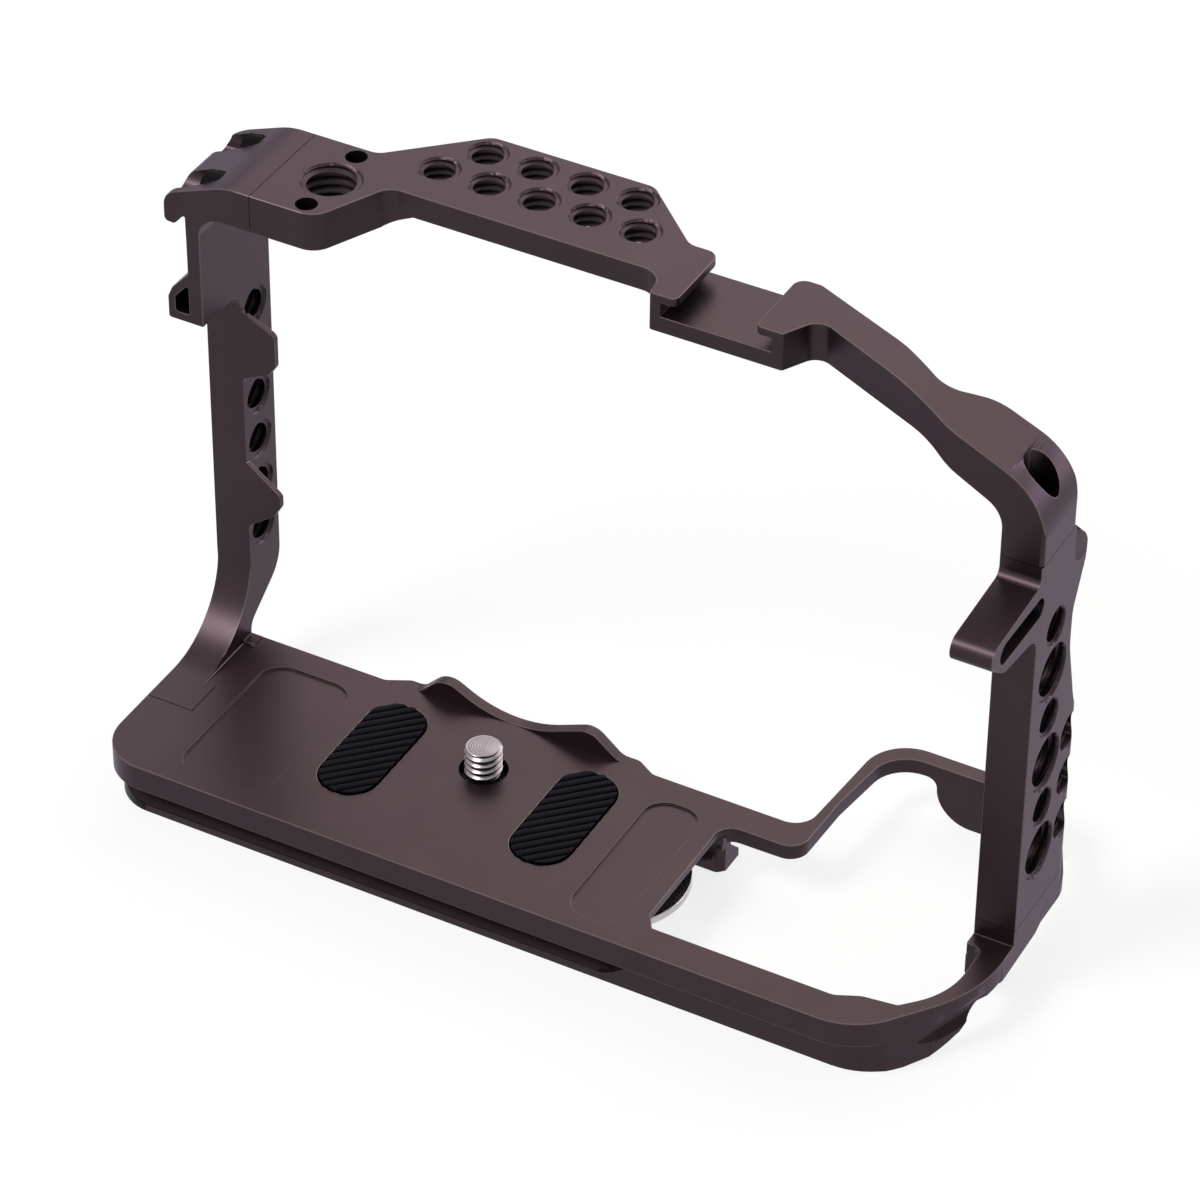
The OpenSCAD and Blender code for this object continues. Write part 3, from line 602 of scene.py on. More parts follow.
@dataclass
class Studio:
    """Camera, lamps, world and floor.

    Attributes:
        azimuth: Degrees from straight ahead to the camera's bearing.
        elevation: Degrees above level.
        roll: Degrees that the camera is turned about its own line of sight.
        place: The camera's place in millimetres.
        focal: Focal length in millimetres on a 36 mm wide frame.
        floor_z: Height of the floor in metres.
        daylight: Strength of the world's even light.
        floor_glow: How much of the floor's colour is white light where the camera sees it.
    """

    azimuth: float = 28.14
    elevation: float = 38.02
    roll: float = 0.6
    place: Triple = (331.5, -579.78, 557.55)
    focal: float = 158.28
    floor_z: float = 0.0
    daylight: float = 0.36
    floor_glow: float = 0.8

    LAMPS: ClassVar[tuple[Lamp, ...]] = (
        Lamp("key_lamp", (0.0, 1.4, 1.3), (2.3, 1.1), 17.5, (1.0, 0.93, 0.78)),
        Lamp("side_lamp", (0.95, 1.5, 0.32), (1.7, 0.6), 13, (0.95, 0.9, 1.0)),
        Lamp("front_lamp", (0.3, -1.7, 1.2), (1.2, 1.2), 3),
        Lamp("edge_lamp", (-0.72, -0.98, 1.52), (0.66, 0.8), 30, (1.0, 0.94, 0.92)),
    )

    def camera(self) -> None:
        """Adds the camera and makes it the scene's."""
        bearing, height, roll = (math.radians(v) for v in (self.azimuth, self.elevation, self.roll))
        back = Vector((math.sin(bearing) * math.cos(height), -math.cos(bearing) * math.cos(height),
                       math.sin(height)))
        level = Vector((math.cos(bearing), math.sin(bearing), 0))
        upright = back.cross(level)
        right = level * math.cos(roll) + upright * math.sin(roll)
        top = upright * math.cos(roll) - level * math.sin(roll)
        data = bpy.data.cameras.new("camera")
        data.lens = self.focal
        data.sensor_width = 36.0
        data.clip_start = 0.01
        data.clip_end = 50.0
        camera = bpy.data.objects.new("camera", data)
        bpy.context.scene.collection.objects.link(camera)
        turn = Matrix((right, top, back)).transposed().to_4x4()
        camera.matrix_world = Matrix.Translation(Vector(self.place) * MM) @ turn
        bpy.context.scene.camera = camera

    @staticmethod
    def seen_white(tree: bpy.types.NodeTree) -> bpy.types.NodeSocket:
        """Adds nodes that give 1 for camera, glossy and transmission rays, and 0 for the rest.

        Args:
            tree: The nodes of a world or material.

        Returns:
            The socket with the share.
        """
        nodes, links = tree.nodes, tree.links
        path = nodes.new("ShaderNodeLightPath")
        first = nodes.new("ShaderNodeMath")
        first.operation = "MAXIMUM"
        second = nodes.new("ShaderNodeMath")
        second.operation = "MAXIMUM"
        links.new(path.outputs["Is Camera Ray"], first.inputs[0])
        links.new(path.outputs["Is Glossy Ray"], first.inputs[1])
        links.new(first.outputs["Value"], second.inputs[0])
        links.new(path.outputs["Is Transmission Ray"], second.inputs[1])
        return second.outputs["Value"]

    def world(self) -> None:
        """Sets an even pale light, seen as white."""
        world = bpy.data.worlds.new("studio")
        bpy.context.scene.world = world
        world.use_nodes = True
        nodes, links = world.node_tree.nodes, world.node_tree.links
        nodes.clear()
        seen = nodes.new("ShaderNodeBackground")
        seen.inputs["Color"].default_value = (1, 1, 1, 1)
        light = nodes.new("ShaderNodeBackground")
        light.inputs["Color"].default_value = (0.95, 0.97, 1.0, 1)
        light.inputs["Strength"].default_value = self.daylight
        mix = nodes.new("ShaderNodeMixShader")
        out = nodes.new("ShaderNodeOutputWorld")
        links.new(self.seen_white(world.node_tree), mix.inputs["Fac"])
        links.new(light.outputs["Background"], mix.inputs[1])
        links.new(seen.outputs["Background"], mix.inputs[2])
        links.new(mix.outputs["Shader"], out.inputs["Surface"])

    def floor(self) -> None:
        """Adds the pale floor, seen as white apart from the object's shadow."""
        deselect()
        bpy.ops.mesh.primitive_plane_add(size=8.0, location=(0, 0, self.floor_z))
        floor = bpy.context.object
        floor.name = "floor"
        material = bpy.data.materials.new("pale_floor")
        material.use_nodes = True
        nodes, links = material.node_tree.nodes, material.node_tree.links
        shader = nodes["Principled BSDF"]
        shader.inputs["Base Color"].default_value = (0.9, 0.9, 0.9, 1)
        shader.inputs["Roughness"].default_value = 0.9
        shader.inputs["Specular IOR Level"].default_value = 0.1
        glow = nodes.new("ShaderNodeEmission")
        glow.inputs["Color"].default_value = (1, 1, 1, 1)
        mix = nodes.new("ShaderNodeMixShader")
        share = nodes.new("ShaderNodeMath")
        share.operation = "MULTIPLY"
        share.inputs[1].default_value = self.floor_glow
        links.new(self.seen_white(material.node_tree), share.inputs[0])
        links.new(share.outputs["Value"], mix.inputs["Fac"])
        links.new(shader.outputs["BSDF"], mix.inputs[1])
        links.new(glow.outputs["Emission"], mix.inputs[2])
        links.new(mix.outputs["Shader"], nodes["Material Output"].inputs["Surface"])
        floor.data.materials.append(material)

    def build(self) -> None:
        """Sets up the whole studio."""
        bpy.context.scene.view_settings.view_transform = "Standard"
        self.camera()
        self.world()
        self.floor()
        for lamp in self.LAMPS:
            lamp.build()


# ---- Plates -------------------------------------------------------------------------------------


@dataclass(frozen=True)
class Seam:
    """A flat face where one plate meets another.

    Attributes:
        axis: Number of the axis that the face is square to.
        place: Where it crosses that axis, in millimetres.
        metal: The side that the plate's metal is on, 1 or -1.
    """

    axis: int
    place: float
    metal: int

    NEAR: ClassVar[float] = 0.02  # how far off the face a point may lie, mm

    def holds(self, point: Vector) -> bool:
        """Says whether a point lies on the seam."""
        return abs(point[self.axis] - self.place * MM) < self.NEAR * MM


ANYWHERE = (-100.0, 100.0)
ANY_WAY = (-2.0, 2.0)


@dataclass(frozen=True)
class Zone:
    """Faces of a plate that get a material of their own: painted shade, or the plain anodising
    without the painted edge highlight.

    Attributes:
        finish: Their material, a darker one as painted shade or the plain anodising.
        x: From where to where their middles lie along X, in millimetres.
        y: The same along Y.
        z: The same along Z.
        facing_y: From what to what the Y part of their normals goes.
        facing_z: The same for the Z part.
    """

    finish: Finish
    x: Pair = ANYWHERE
    y: Pair = ANYWHERE
    z: Pair = ANYWHERE
    facing_y: Pair = ANY_WAY
    facing_z: Pair = ANY_WAY

    def holds(self, middle: Vector, normal: Vector) -> bool:
        """Says whether a face lies in the zone.

        Args:
            middle: The face's middle in metres.
            normal: The face's normal.

        Returns:
            Whether it does.
        """
        inside = all(low * MM < place < high * MM
                     for place, (low, high) in zip(middle, (self.x, self.y, self.z)))
        return inside and self.facing_y[0] < normal.y < self.facing_y[1] \
            and self.facing_z[0] < normal.z < self.facing_z[1]


@dataclass
class MilledPlate:
    """A milled plate with its edges broken and its seams open by a hair.

    Attributes:
        node: The CAD node.
        seams: The faces where it meets other plates.
        zones: Its faces that get painted shade, or lose the painted edge highlight.
        edge: Width of the broken edge in millimetres.
        gap: How far each seam face stands back, in millimetres.
        step: Height of a hair-wide step in the outline, which is closed, in millimetres.
    """

    node: str
    seams: tuple[Seam, ...] = ()
    zones: tuple[Zone, ...] = ()
    edge: float = 0.16
    gap: float = 0.055
    step: float | None = None

    SHARP: ClassVar[float] = 38.0  # degrees from which an edge counts as sharp
    BROAD: ClassVar[float] = 0.55  # room beside an edge that the bevel needs, mm
    SHORT: ClassVar[float] = 1.2  # edges up to this long follow a narrow neighbour, mm
    SPREAD: ClassVar[int] = 6  # how many steps from edge to edge they do so
    SHALLOW: ClassVar[float] = 0.5  # heights within this of the floor's top are shallow, mm
    MOST: ClassVar[float] = 0.5  # most of the bevel's width that a narrow shallow edge gets
    PART: ClassVar[float] = 0.4  # share of the room beside it that it takes
    CHORD: ClassVar[float] = 1.4  # longest edge of a hole's mouth, mm
    ROUND: ClassVar[float] = 0.06  # how far a mouth's length may be off a circle's, as a share
    AROUND: ClassVar[float] = 1.0  # edges this near to a kept spot stay sharp, mm
    STRAY: ClassVar[float] = 0.8  # share of the bevel's width that its points may stand off
    APART: ClassVar[float] = 0.1  # spots further apart than this count as two, mm
    STEP_Y: ClassVar[float] = -26.5  # the step's outlines lie nearer than this, mm
    STEP_X: ClassVar[float] = 78.0  # or further to the right than this, mm
    STEP_REACH: ClassVar[float] = 0.45  # how far apart the points of the two outlines are, mm
    LEVEL: ClassVar[float] = 0.01  # how far off the step's height they may lie, mm

    @staticmethod
    def chain(start: bmesh.types.BMEdge, left: set[bmesh.types.BMEdge]) -> set[bmesh.types.BMEdge]:
        """Takes the edges that hang together with one edge out of a set.

        Args:
            start: The first edge.
            left: The edges to take from.

        Returns:
            The edges of the chain.
        """
        chain, fresh = set(), {start}
        while fresh:
            chain |= fresh
            fresh = {other for edge in fresh for point in edge.verts
                     for other in point.link_edges if other in left}
            left -= fresh
        return chain

    def mouths(self, edges: set[bmesh.types.BMEdge]) -> set[bmesh.types.BMEdge]:
        """Picks the edges that go round a hole in a full circle.

        Args:
            edges: The edges to choose from.

        Returns:
            The edges of every circle.
        """
        left = {edge for edge in edges if edge.calc_length() < self.CHORD * MM}
        found: set[bmesh.types.BMEdge] = set()
        while left:
            chain = self.chain(left.pop(), left)
            places = [point.co for edge in chain for point in edge.verts]
            width = max(max(place[axis] for place in places) - min(place[axis] for place in places)
                        for axis in range(3))
            length = sum(edge.calc_length() for edge in chain)
            if abs(length - math.pi * width) < self.ROUND * length:
                found |= chain
        return found

    @staticmethod
    def room(edge: bmesh.types.BMEdge) -> float:
        """Measures how far the narrower of an edge's two faces reaches away from it.

        Args:
            edge: The edge.

        Returns:
            The reach in metres.
        """
        start, end = (point.co for point in edge.verts)
        along = (end - start).normalized()
        return min((max((point.co - start).cross(along).length for point in face.verts)
                    for face in edge.link_faces), default=0.0)

    def narrow(self, sharp: set[bmesh.types.BMEdge]) -> set[bmesh.types.BMEdge]:
        """Picks the sharp edges that have too little room, with the short ones that follow them.

        Args:
            sharp: The sharp edges.

        Returns:
            Those that can't take the whole bevel.
        """
        found = {edge for edge in sharp if self.room(edge) < self.BROAD * MM}
        for _ in range(self.SPREAD):
            found |= {edge for edge in sharp - found if edge.calc_length() < self.SHORT * MM
                      and any(other in found for point in edge.verts for other in point.link_edges)}
        return found

    def width_share(self, edge: bmesh.types.BMEdge, is_narrow: bool) -> float:
        """Says how much of the bevel's width an edge gets.

        Args:
            edge: The edge.
            is_narrow: Whether it has too little room.

        Returns:
            The share: some of it for a narrow edge round a shallow pocket in the floor.
        """
        if not is_narrow:
            return 1.0
        if all(abs(point.co.z) < self.SHALLOW * MM for point in edge.verts):
            return min(self.MOST, self.PART * self.room(edge) / (self.edge * MM))
        return 0.0

    def stays_sharp(self, edge: bmesh.types.BMEdge, kept: list[Vector]) -> bool:
        """Says whether an edge lies on a seam or near a spot that stays sharp.

        Args:
            edge: The edge.
            kept: The spots, in millimetres.

        Returns:
            Whether it does.
        """
        ends = [point.co for point in edge.verts]
        return all(any(seam.holds(end) for seam in self.seams) for end in ends) \
            or any((end - spot * MM).length < self.AROUND * MM for end in ends for spot in kept)

    def mark_edges(self, piece: bpy.types.Object, kept: list[Vector]) -> None:
        """Gives the bevel's weight to every sharp edge with room for it that isn't on a seam.

        Args:
            piece: The plate.
            kept: Spots round which the edges stay sharp, in millimetres.
        """
        open_edit(piece)
        mesh = bmesh.from_edit_mesh(piece.data)
        layers = mesh.edges.layers.float
        weight = layers.get("bevel_weight_edge")
        if weight is None:
            weight = layers.new("bevel_weight_edge")
        sharp = {edge for edge in mesh.edges if len(edge.link_faces) == 2
                 and edge.calc_face_angle() > math.radians(self.SHARP)}
        mouths, narrow = self.mouths(sharp), self.narrow(sharp)
        for edge in sharp:
            left_out = edge in mouths or self.stays_sharp(edge, kept)
            edge[weight] = 0.0 if left_out else self.width_share(edge, edge in narrow)
        bmesh.update_edit_mesh(piece.data)
        close_edit()

    def close_step(self, piece: bpy.types.Object) -> None:
        """Merges the two outlines of the hair-wide step.

        Args:
            piece: The plate.
        """
        if self.step is None:
            return
        open_edit(piece)
        pick_points(piece, lambda point: abs(point.z - self.step * MM) < self.LEVEL * MM
                    and (point.y < self.STEP_Y * MM or point.x > self.STEP_X * MM))
        bpy.ops.mesh.remove_doubles(threshold=self.STEP_REACH * MM)
        close_edit()

    def break_edges(self, kept: list[Vector]) -> bpy.types.Object:
        """Copies the plate's solid and breaks its edges, whose faces get a paler colour as a painted
        highlight.

        Args:
            kept: Spots round which the edges stay sharp, in millimetres.

        Returns:
            The plate.
        """
        piece = merged_copy(self.node, self.node + "_milled")
        self.close_step(piece)
        self.mark_edges(piece, kept)
        rounding = piece.modifiers.new("broken_edges", "BEVEL")
        rounding.width = self.edge * MM
        rounding.segments = 2
        rounding.limit_method = "WEIGHT"
        rounding.use_clamp_overlap = False
        piece.data.materials.append(ANODISED.material())
        # The bevel's faces get the paler colour of the painted edge highlight.
        piece.data.materials.append(ANODISED_EDGE_HIGHLIGHT.material())
        rounding.material = 1
        return apply_modifiers(piece)

    def strays(self, piece: bpy.types.Object, solid: BVHTree) -> list[Vector]:
        """Lists the points that the bevel threw off the solid, with their neighbours.

        Args:
            piece: The plate.
            solid: The solid's surface.

        Returns:
            Their places in millimetres.
        """
        points = piece.data.vertices
        off = {point.index for point in points
               if solid.find_nearest(point.co)[3] > self.STRAY * self.edge * MM}
        return [points[index].co / MM for edge in piece.data.edges
                if off & set(edge.vertices) for index in edge.vertices]

    def open_seams(self, piece: bpy.types.Object) -> None:
        """Moves each seam face back into the metal.

        Args:
            piece: The plate.
        """
        open_edit(piece)
        for seam in self.seams:
            pick_points(piece, seam.holds)
            move = [0.0, 0.0, 0.0]
            move[seam.axis] = seam.metal * self.gap * MM
            bpy.ops.transform.translate(value=move)
        close_edit()

    def build(self) -> bpy.types.Object:
        """Makes and dresses the plate, which stands for its CAD node.

        Its edges are broken again, with those round the stray points kept sharp, until none strays.

        Returns:
            The plate.
        """
        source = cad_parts[self.node].data
        solid = BVHTree.FromPolygons([point.co for point in source.vertices],
                                     [tuple(face.vertices) for face in source.polygons])
        kept: list[Vector] = []
        while True:
            piece = self.break_edges(kept)
            fresh = [place for place in self.strays(piece, solid)
                     if all((place - spot).length > self.APART for spot in kept)]
            if not fresh:
                break
            kept += fresh
            bpy.data.objects.remove(piece)
        LOG.info("%s: %d spots kept sharp", self.node, len(kept))
        self.open_seams(piece)
        smooth(piece)
        for zone in self.zones:
            paint(piece, zone.finish, zone.holds)
        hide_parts(self.node)
        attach(piece, "cage")
        return piece


def milled_plates() -> list[MilledPlate]:
    """Lists the plates with their seams and zones.

    Returns:
        The base, left, right and top plates.
    """
    block_z, leg_z, left_x = 3.2, 75.7, -42.7
    foot_x, foot_y, clearance = -50.0, -10.4, 0.05
    lip_z, groove_z = -9.7, -4.78
    near_side = {"x": (-100.0, 42.0), "y": (-27.3, -21.9)}
    # Little light comes to the foot's near lip and groove and to the hollow in the near corner, so
    # their faces get painted shade: darker tones of the anodising.
    base = MilledPlate(
        "base_plate", step=-4.8,
        seams=(Seam(2, block_z, -1), Seam(0, foot_x + clearance, 1),
               Seam(1, foot_y - clearance, -1)),
        zones=(Zone(ANODISED_GROOVE_SHADE, z=(-100.0, lip_z), facing_z=(-0.5, 2.0), **near_side),
               Zone(ANODISED_GROOVE_SHADE, z=(lip_z, groove_z), facing_y=(-0.99, 2.0), **near_side),
               Zone(ANODISED_HOLLOW_SHADE, x=(81.0, 100.0), y=(-25.0, -8.0), z=(-10.5, -3.6),
                    facing_z=(0.1, 0.9))))
    left = MilledPlate("left_side_plate",
                       seams=(Seam(0, left_x, -1), Seam(0, foot_x, -1), Seam(1, foot_y, 1)))
    right = MilledPlate("right_side_plate", seams=(Seam(2, leg_z, -1), Seam(2, block_z, 1)))
    # Inside the shoe's slot the broken edges get no painted highlight: they keep the plain anodised
    # colour.
    top = MilledPlate("top_plate", seams=(Seam(0, left_x, 1), Seam(2, leg_z, 1)),
                      zones=(Zone(ANODISED, x=(26.2, 45.6), y=(9.0, 100.0), z=(93.9, 96.7)),))
    return [base, left, right, top]


# ---- Threads of the tapped holes ----------------------------------------------------------------


# Outer radius and pitch of the two inch threads, in millimetres.
QUARTER, QUARTER_PITCH = 3.175, 1.27
THREE_EIGHTHS, THREE_EIGHTHS_PITCH = 4.7625, 1.5875


@dataclass(frozen=True)
class Ridge:
    """A thread's ridge round the Z axis.

    Attributes:
        outer: Radius of its outer side in millimetres.
        inner: Radius of its inner side.
        outer_half: Half its height at the outer side.
        inner_half: Half its height at the inner side.
        pitch: Rise of one turn.
        turns: How many turns are swept.
        steps: Faces round one turn.
        start: Height where the sweep starts.
        high: Height of the flat cut at its upper end.
        low: Height of the flat cut at its lower end.
    """

    outer: float
    inner: float
    outer_half: float
    inner_half: float
    pitch: float
    turns: int
    steps: int
    start: float
    high: float
    low: float

    def build(self) -> bpy.types.Object:
        """Shapes a plane to the ridge's section, sweeps it up a screw line and cuts the ends flat.

        Returns:
            The ridge.
        """
        deselect()
        bpy.ops.mesh.primitive_plane_add(size=2 * MM, location=(self.outer * MM, 0, 0),
                                         rotation=(math.pi / 2, 0, 0))
        ridge = settle(bpy.context.object)
        ridge.name = "thread"
        for point in ridge.data.vertices:
            outside = point.co.x > self.outer * MM
            half = self.outer_half if outside else self.inner_half
            point.co.x = (self.outer if outside else self.inner) * MM
            point.co.z = math.copysign(half, point.co.z) * MM
        sweep = ridge.modifiers.new("sweep", "SCREW")
        sweep.axis = "Z"
        sweep.screw_offset = self.pitch * MM
        sweep.iterations = self.turns
        sweep.steps = sweep.render_steps = self.steps
        apply_modifiers(ridge)
        ridge.location.z = self.start * MM
        settle(ridge)
        facing_out(ridge)
        open_edit(ridge)
        for z, up in ((self.high, True), (self.low, False)):
            bpy.ops.mesh.select_all(action="SELECT")
            bpy.ops.mesh.bisect(plane_co=(0, 0, z * MM), plane_no=(0, 0, 1), use_fill=True,
                                clear_outer=up, clear_inner=not up)
        bpy.ops.mesh.select_all(action="SELECT")
        bpy.ops.mesh.normals_make_consistent(inside=False)
        close_edit()
        return ridge


@dataclass
class ThreadedHoles:
    """The threads of one plate's tapped holes.

    Attributes:
        name: The piece's name.
        wall: Thickness of the wall in millimetres.
        axis: The direction that the holes open in.
        mouth: How far the thread keeps from each face, in millimetres.
    """

    name: str
    wall: float
    axis: Triple
    mouth: float = 0.38

    SUNK: ClassVar[float] = 0.1  # how far the ridge reaches into the wall, mm
    DEPTH: ClassVar[float] = 0.45  # its height over the bore, as a share of the pitch
    ROOT: ClassVar[float] = 0.77  # its thickness at the wall, as a share of the pitch
    CREST: ClassVar[float] = 0.25  # its thickness at the crest, as a share of the pitch

    def ridge(self, radius: float) -> bpy.types.Object:
        """Makes one hole's thread along -Z, from the face at z 0 down.

        Args:
            radius: The thread's outer radius in millimetres.

        Returns:
            The thread's ridge.
        """
        pitch = QUARTER_PITCH if radius == QUARTER else THREE_EIGHTHS_PITCH
        spare = 3
        turns = math.ceil(self.wall / pitch) + spare
        return Ridge(outer=radius + self.SUNK, inner=radius - self.DEPTH * pitch,
                     outer_half=self.ROOT * pitch / 2, inner_half=self.CREST * pitch / 2,
                     pitch=pitch, turns=turns, steps=28,
                     start=-(self.wall / 2 + turns * pitch / 2),
                     high=-self.mouth, low=-self.wall + self.mouth).build()

    def build(self, holes: list[tuple[Vector, float]],
              keep: bpy.types.Object | None = None) -> bpy.types.Object:
        """Puts a thread in every hole, as one piece.

        Args:
            holes: Each hole's place on its face, in metres, and its radius in millimetres.
            keep: A form that the threads are trimmed to, if they would stand out of the plate.

        Returns:
            The joined threads.
        """
        models = {radius: self.ridge(radius) for radius in sorted({r for _, r in holes})}
        copies = [copy_at(models[radius], place, Vector(self.axis)) for place, radius in holes]
        for model in models.values():
            bpy.data.objects.remove(model)
        piece = join(copies, self.name)
        if keep is not None:
            cut(piece, keep, "INTERSECT")
        shade(piece)
        ANODISED.dress(piece)
        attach(piece, "cage")
        return piece


def rounded_block() -> bpy.types.Object:
    """Makes the form inside the right plate's rounded far edge, a little below its faces.

    Returns:
        A block whose long far outer edge is rounded.
    """
    middle, size, rounding = (90.2, 12.1, 40), (8, 20, 72), 3.64
    form = block(middle, size)
    open_edit(form)
    pick_points(form, lambda point: point.x > middle[0] * MM and point.y > middle[1] * MM)
    bpy.ops.mesh.bevel(offset=rounding * MM, segments=10, affect="EDGES")
    close_edit()
    return form


def row(radius: float, start: Triple, step: Triple, count: int) -> list[tuple[Vector, float]]:
    """Lists holes of one size on a line.

    Args:
        radius: The holes' radius in millimetres.
        start: The first place in millimetres.
        step: From one place to the next, in millimetres.
        count: How many there are.

    Returns:
        Each hole's place in metres and its radius in millimetres.
    """
    return [((Vector(start) + Vector(step) * k) * MM, radius) for k in range(count)]


def threads() -> list[bpy.types.Object]:
    """Makes the threads of every plate.

    Returns:
        One piece for each row or wall.
    """
    left_x, right_x, top_z = -58.8, 95.1, 98.1
    pitch, line_y, far_y = 9.0, 9.65, 18.65
    left, right, up = (-1, 0, 0), (1, 0, 0), (0, 0, 1)
    across, rise = (pitch, 0, 0), (0, 0, pitch)
    wide_rise = (0, 0, 2 * pitch)
    in_line = row(THREE_EIGHTHS, (right_x, line_y, 14.75), wide_rise, 3) \
        + row(QUARTER, (right_x, line_y, 23.75), wide_rise, 3)
    on_bar = row(QUARTER, (-20.5, 23.2, top_z), across, 5) \
        + row(QUARTER, (-16, 30.7, top_z), across, 4)
    return [
        ThreadedHoles("left_threads", 6.5, left).build(row(QUARTER, (left_x, 17.4, 19.7), rise, 6)),
        ThreadedHoles("right_threads", 7.1, right).build(in_line),
        ThreadedHoles("right_far_threads", 7.1, right).build(
            row(QUARTER, (right_x, far_y, 14.75), rise, 3), rounded_block()),
        ThreadedHoles("bar_threads", 4.4, up).build(on_bar),
        ThreadedHoles("end_thread", 6.9, up).build(
            row(THREE_EIGHTHS, (-33.7, 12.05, top_z), across, 1)),
    ]


# ---- Camera screw, washer and ring --------------------------------------------------------------


@dataclass
class CameraScrew:
    """The captive screw: head with a coin slot, neck, and a thread with a turned flat top.

    Attributes:
        radius: Outer radius of the thread.
        core: Radius at the thread's root.
        pitch: Rise of one turn.
        turns: Turns swept, some of which are trimmed off again.
        crest_half: Half the height of the ridge's crest.
        root_half: Half its height at the root.
        top: Height of the flat top.
        low: Height where the thread starts.
        lead_in: How far the ridge takes to rise to its full height at the start.
        lead_out: How far it takes to sink again at the top.
        head: Radius of the head.
        head_top: Height of the head's upper face.
        head_low: Height of its underside.
        neck: Radius of the neck.
        slot: Width of the coin slot.
        slot_depth: Its depth.
        edge: Width of the rounded edges.
        shoulder: Height over which the neck widens to the core.
        bright: How far down from the top the core keeps the bright steel, above its painted shade.
    """

    radius: float = QUARTER
    core: float = 2.68
    pitch: float = QUARTER_PITCH
    turns: int = 7
    crest_half: float = 0.12
    root_half: float = 0.46
    top: float = 4.9
    low: float = -0.9
    lead_in: float = 0.7
    lead_out: float = 0.35
    head: float = 6.75
    head_top: float = -3.3
    head_low: float = -5.7
    neck: float = 2.6
    slot: float = 1.7
    slot_depth: float = 1.2
    edge: float = 0.16
    shoulder: float = 0.3
    bright: float = 0.3

    def body(self) -> bpy.types.Object:
        """Turns the head, the neck, the core and the top.

        Returns:
            The screw without its thread.
        """
        body = turned("camera_screw_turned", [
            (self.head, self.head_low), (self.head, self.head_top), (self.neck, self.head_top),
            (self.neck, self.low), (self.core, self.low + self.shoulder),
            (self.core, self.top), (0.5, self.top)
        ], 96)
        cut(body, block((0, 0, self.head_low), (20, self.slot, 2 * self.slot_depth)))
        bevel(body, self.edge, 3, 50)
        body.data.materials.append(TURNED_STEEL.material())
        # Painted shade: the core's sides below the top are darker, as where the thread's turns shade
        # them.
        paint(body, STEEL_PAINTED_SHADE, lambda middle, normal: abs(normal.z) < 0.5
              and self.low * MM < middle.z < (self.top - self.bright) * MM)
        return body

    def thread(self) -> bpy.types.Object:
        """Sweeps the thread's ridge and trims it to the screw's outline.

        Returns:
            The ridge, with painted shade on its undersides.
        """
        upper_cut, lower_cut = 0.05, 0.1
        buried, proud, below_top = 0.3, 0.12, 0.02
        ridge = Ridge(outer=self.radius, inner=self.core, outer_half=self.crest_half,
                      inner_half=self.root_half, pitch=self.pitch, turns=self.turns, steps=40,
                      start=self.low - self.pitch, high=self.top - upper_cut,
                      low=self.low + lower_cut).build()
        outline = turned("keep", [
            (self.core - buried, self.low), (self.radius, self.low + self.lead_in),
            (self.radius, self.top - self.lead_out), (self.core + proud, self.top - below_top)
        ])
        cut(ridge, outline, "INTERSECT")
        ridge.data.materials.clear()
        # The ridge gets the paler steel, in part a painted highlight on its crests.
        ridge.data.materials.append(THREAD_STEEL_AND_HIGHLIGHT.material())
        # Painted shade on the ridge's undersides.
        paint(ridge, STEEL_PAINTED_SHADE, lambda middle, normal: normal.z < -0.5)
        return ridge

    def build(self) -> bpy.types.Object:
        """Makes and dresses the screw, which stands for its CAD node.

        Returns:
            The screw.
        """
        ridge = self.thread()
        piece = join([self.body(), ridge], "camera_screw_turned")
        shade(piece)
        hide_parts("camera_screw")
        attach(piece, "screw")
        return piece


@dataclass
class TrimPiece:
    """A small piece that keeps its solid's shape and gets its edges rounded.

    Attributes:
        node: The CAD node.
        body: The body that it rides on.
        finish: Its finish.
        edge: Width of the rounding in millimetres.
    """

    node: str
    body: str
    finish: Finish
    edge: float

    def build(self) -> bpy.types.Object:
        """Makes and dresses the piece, which stands for its CAD node.

        Returns:
            The piece.
        """
        piece = merged_copy(self.node, self.node + "_eased")
        bevel(piece, self.edge)
        smooth(piece)
        self.finish.dress(piece)
        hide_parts(self.node)
        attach(piece, self.body)
        return piece


# ---- Pads ---------------------------------------------------------------------------------------


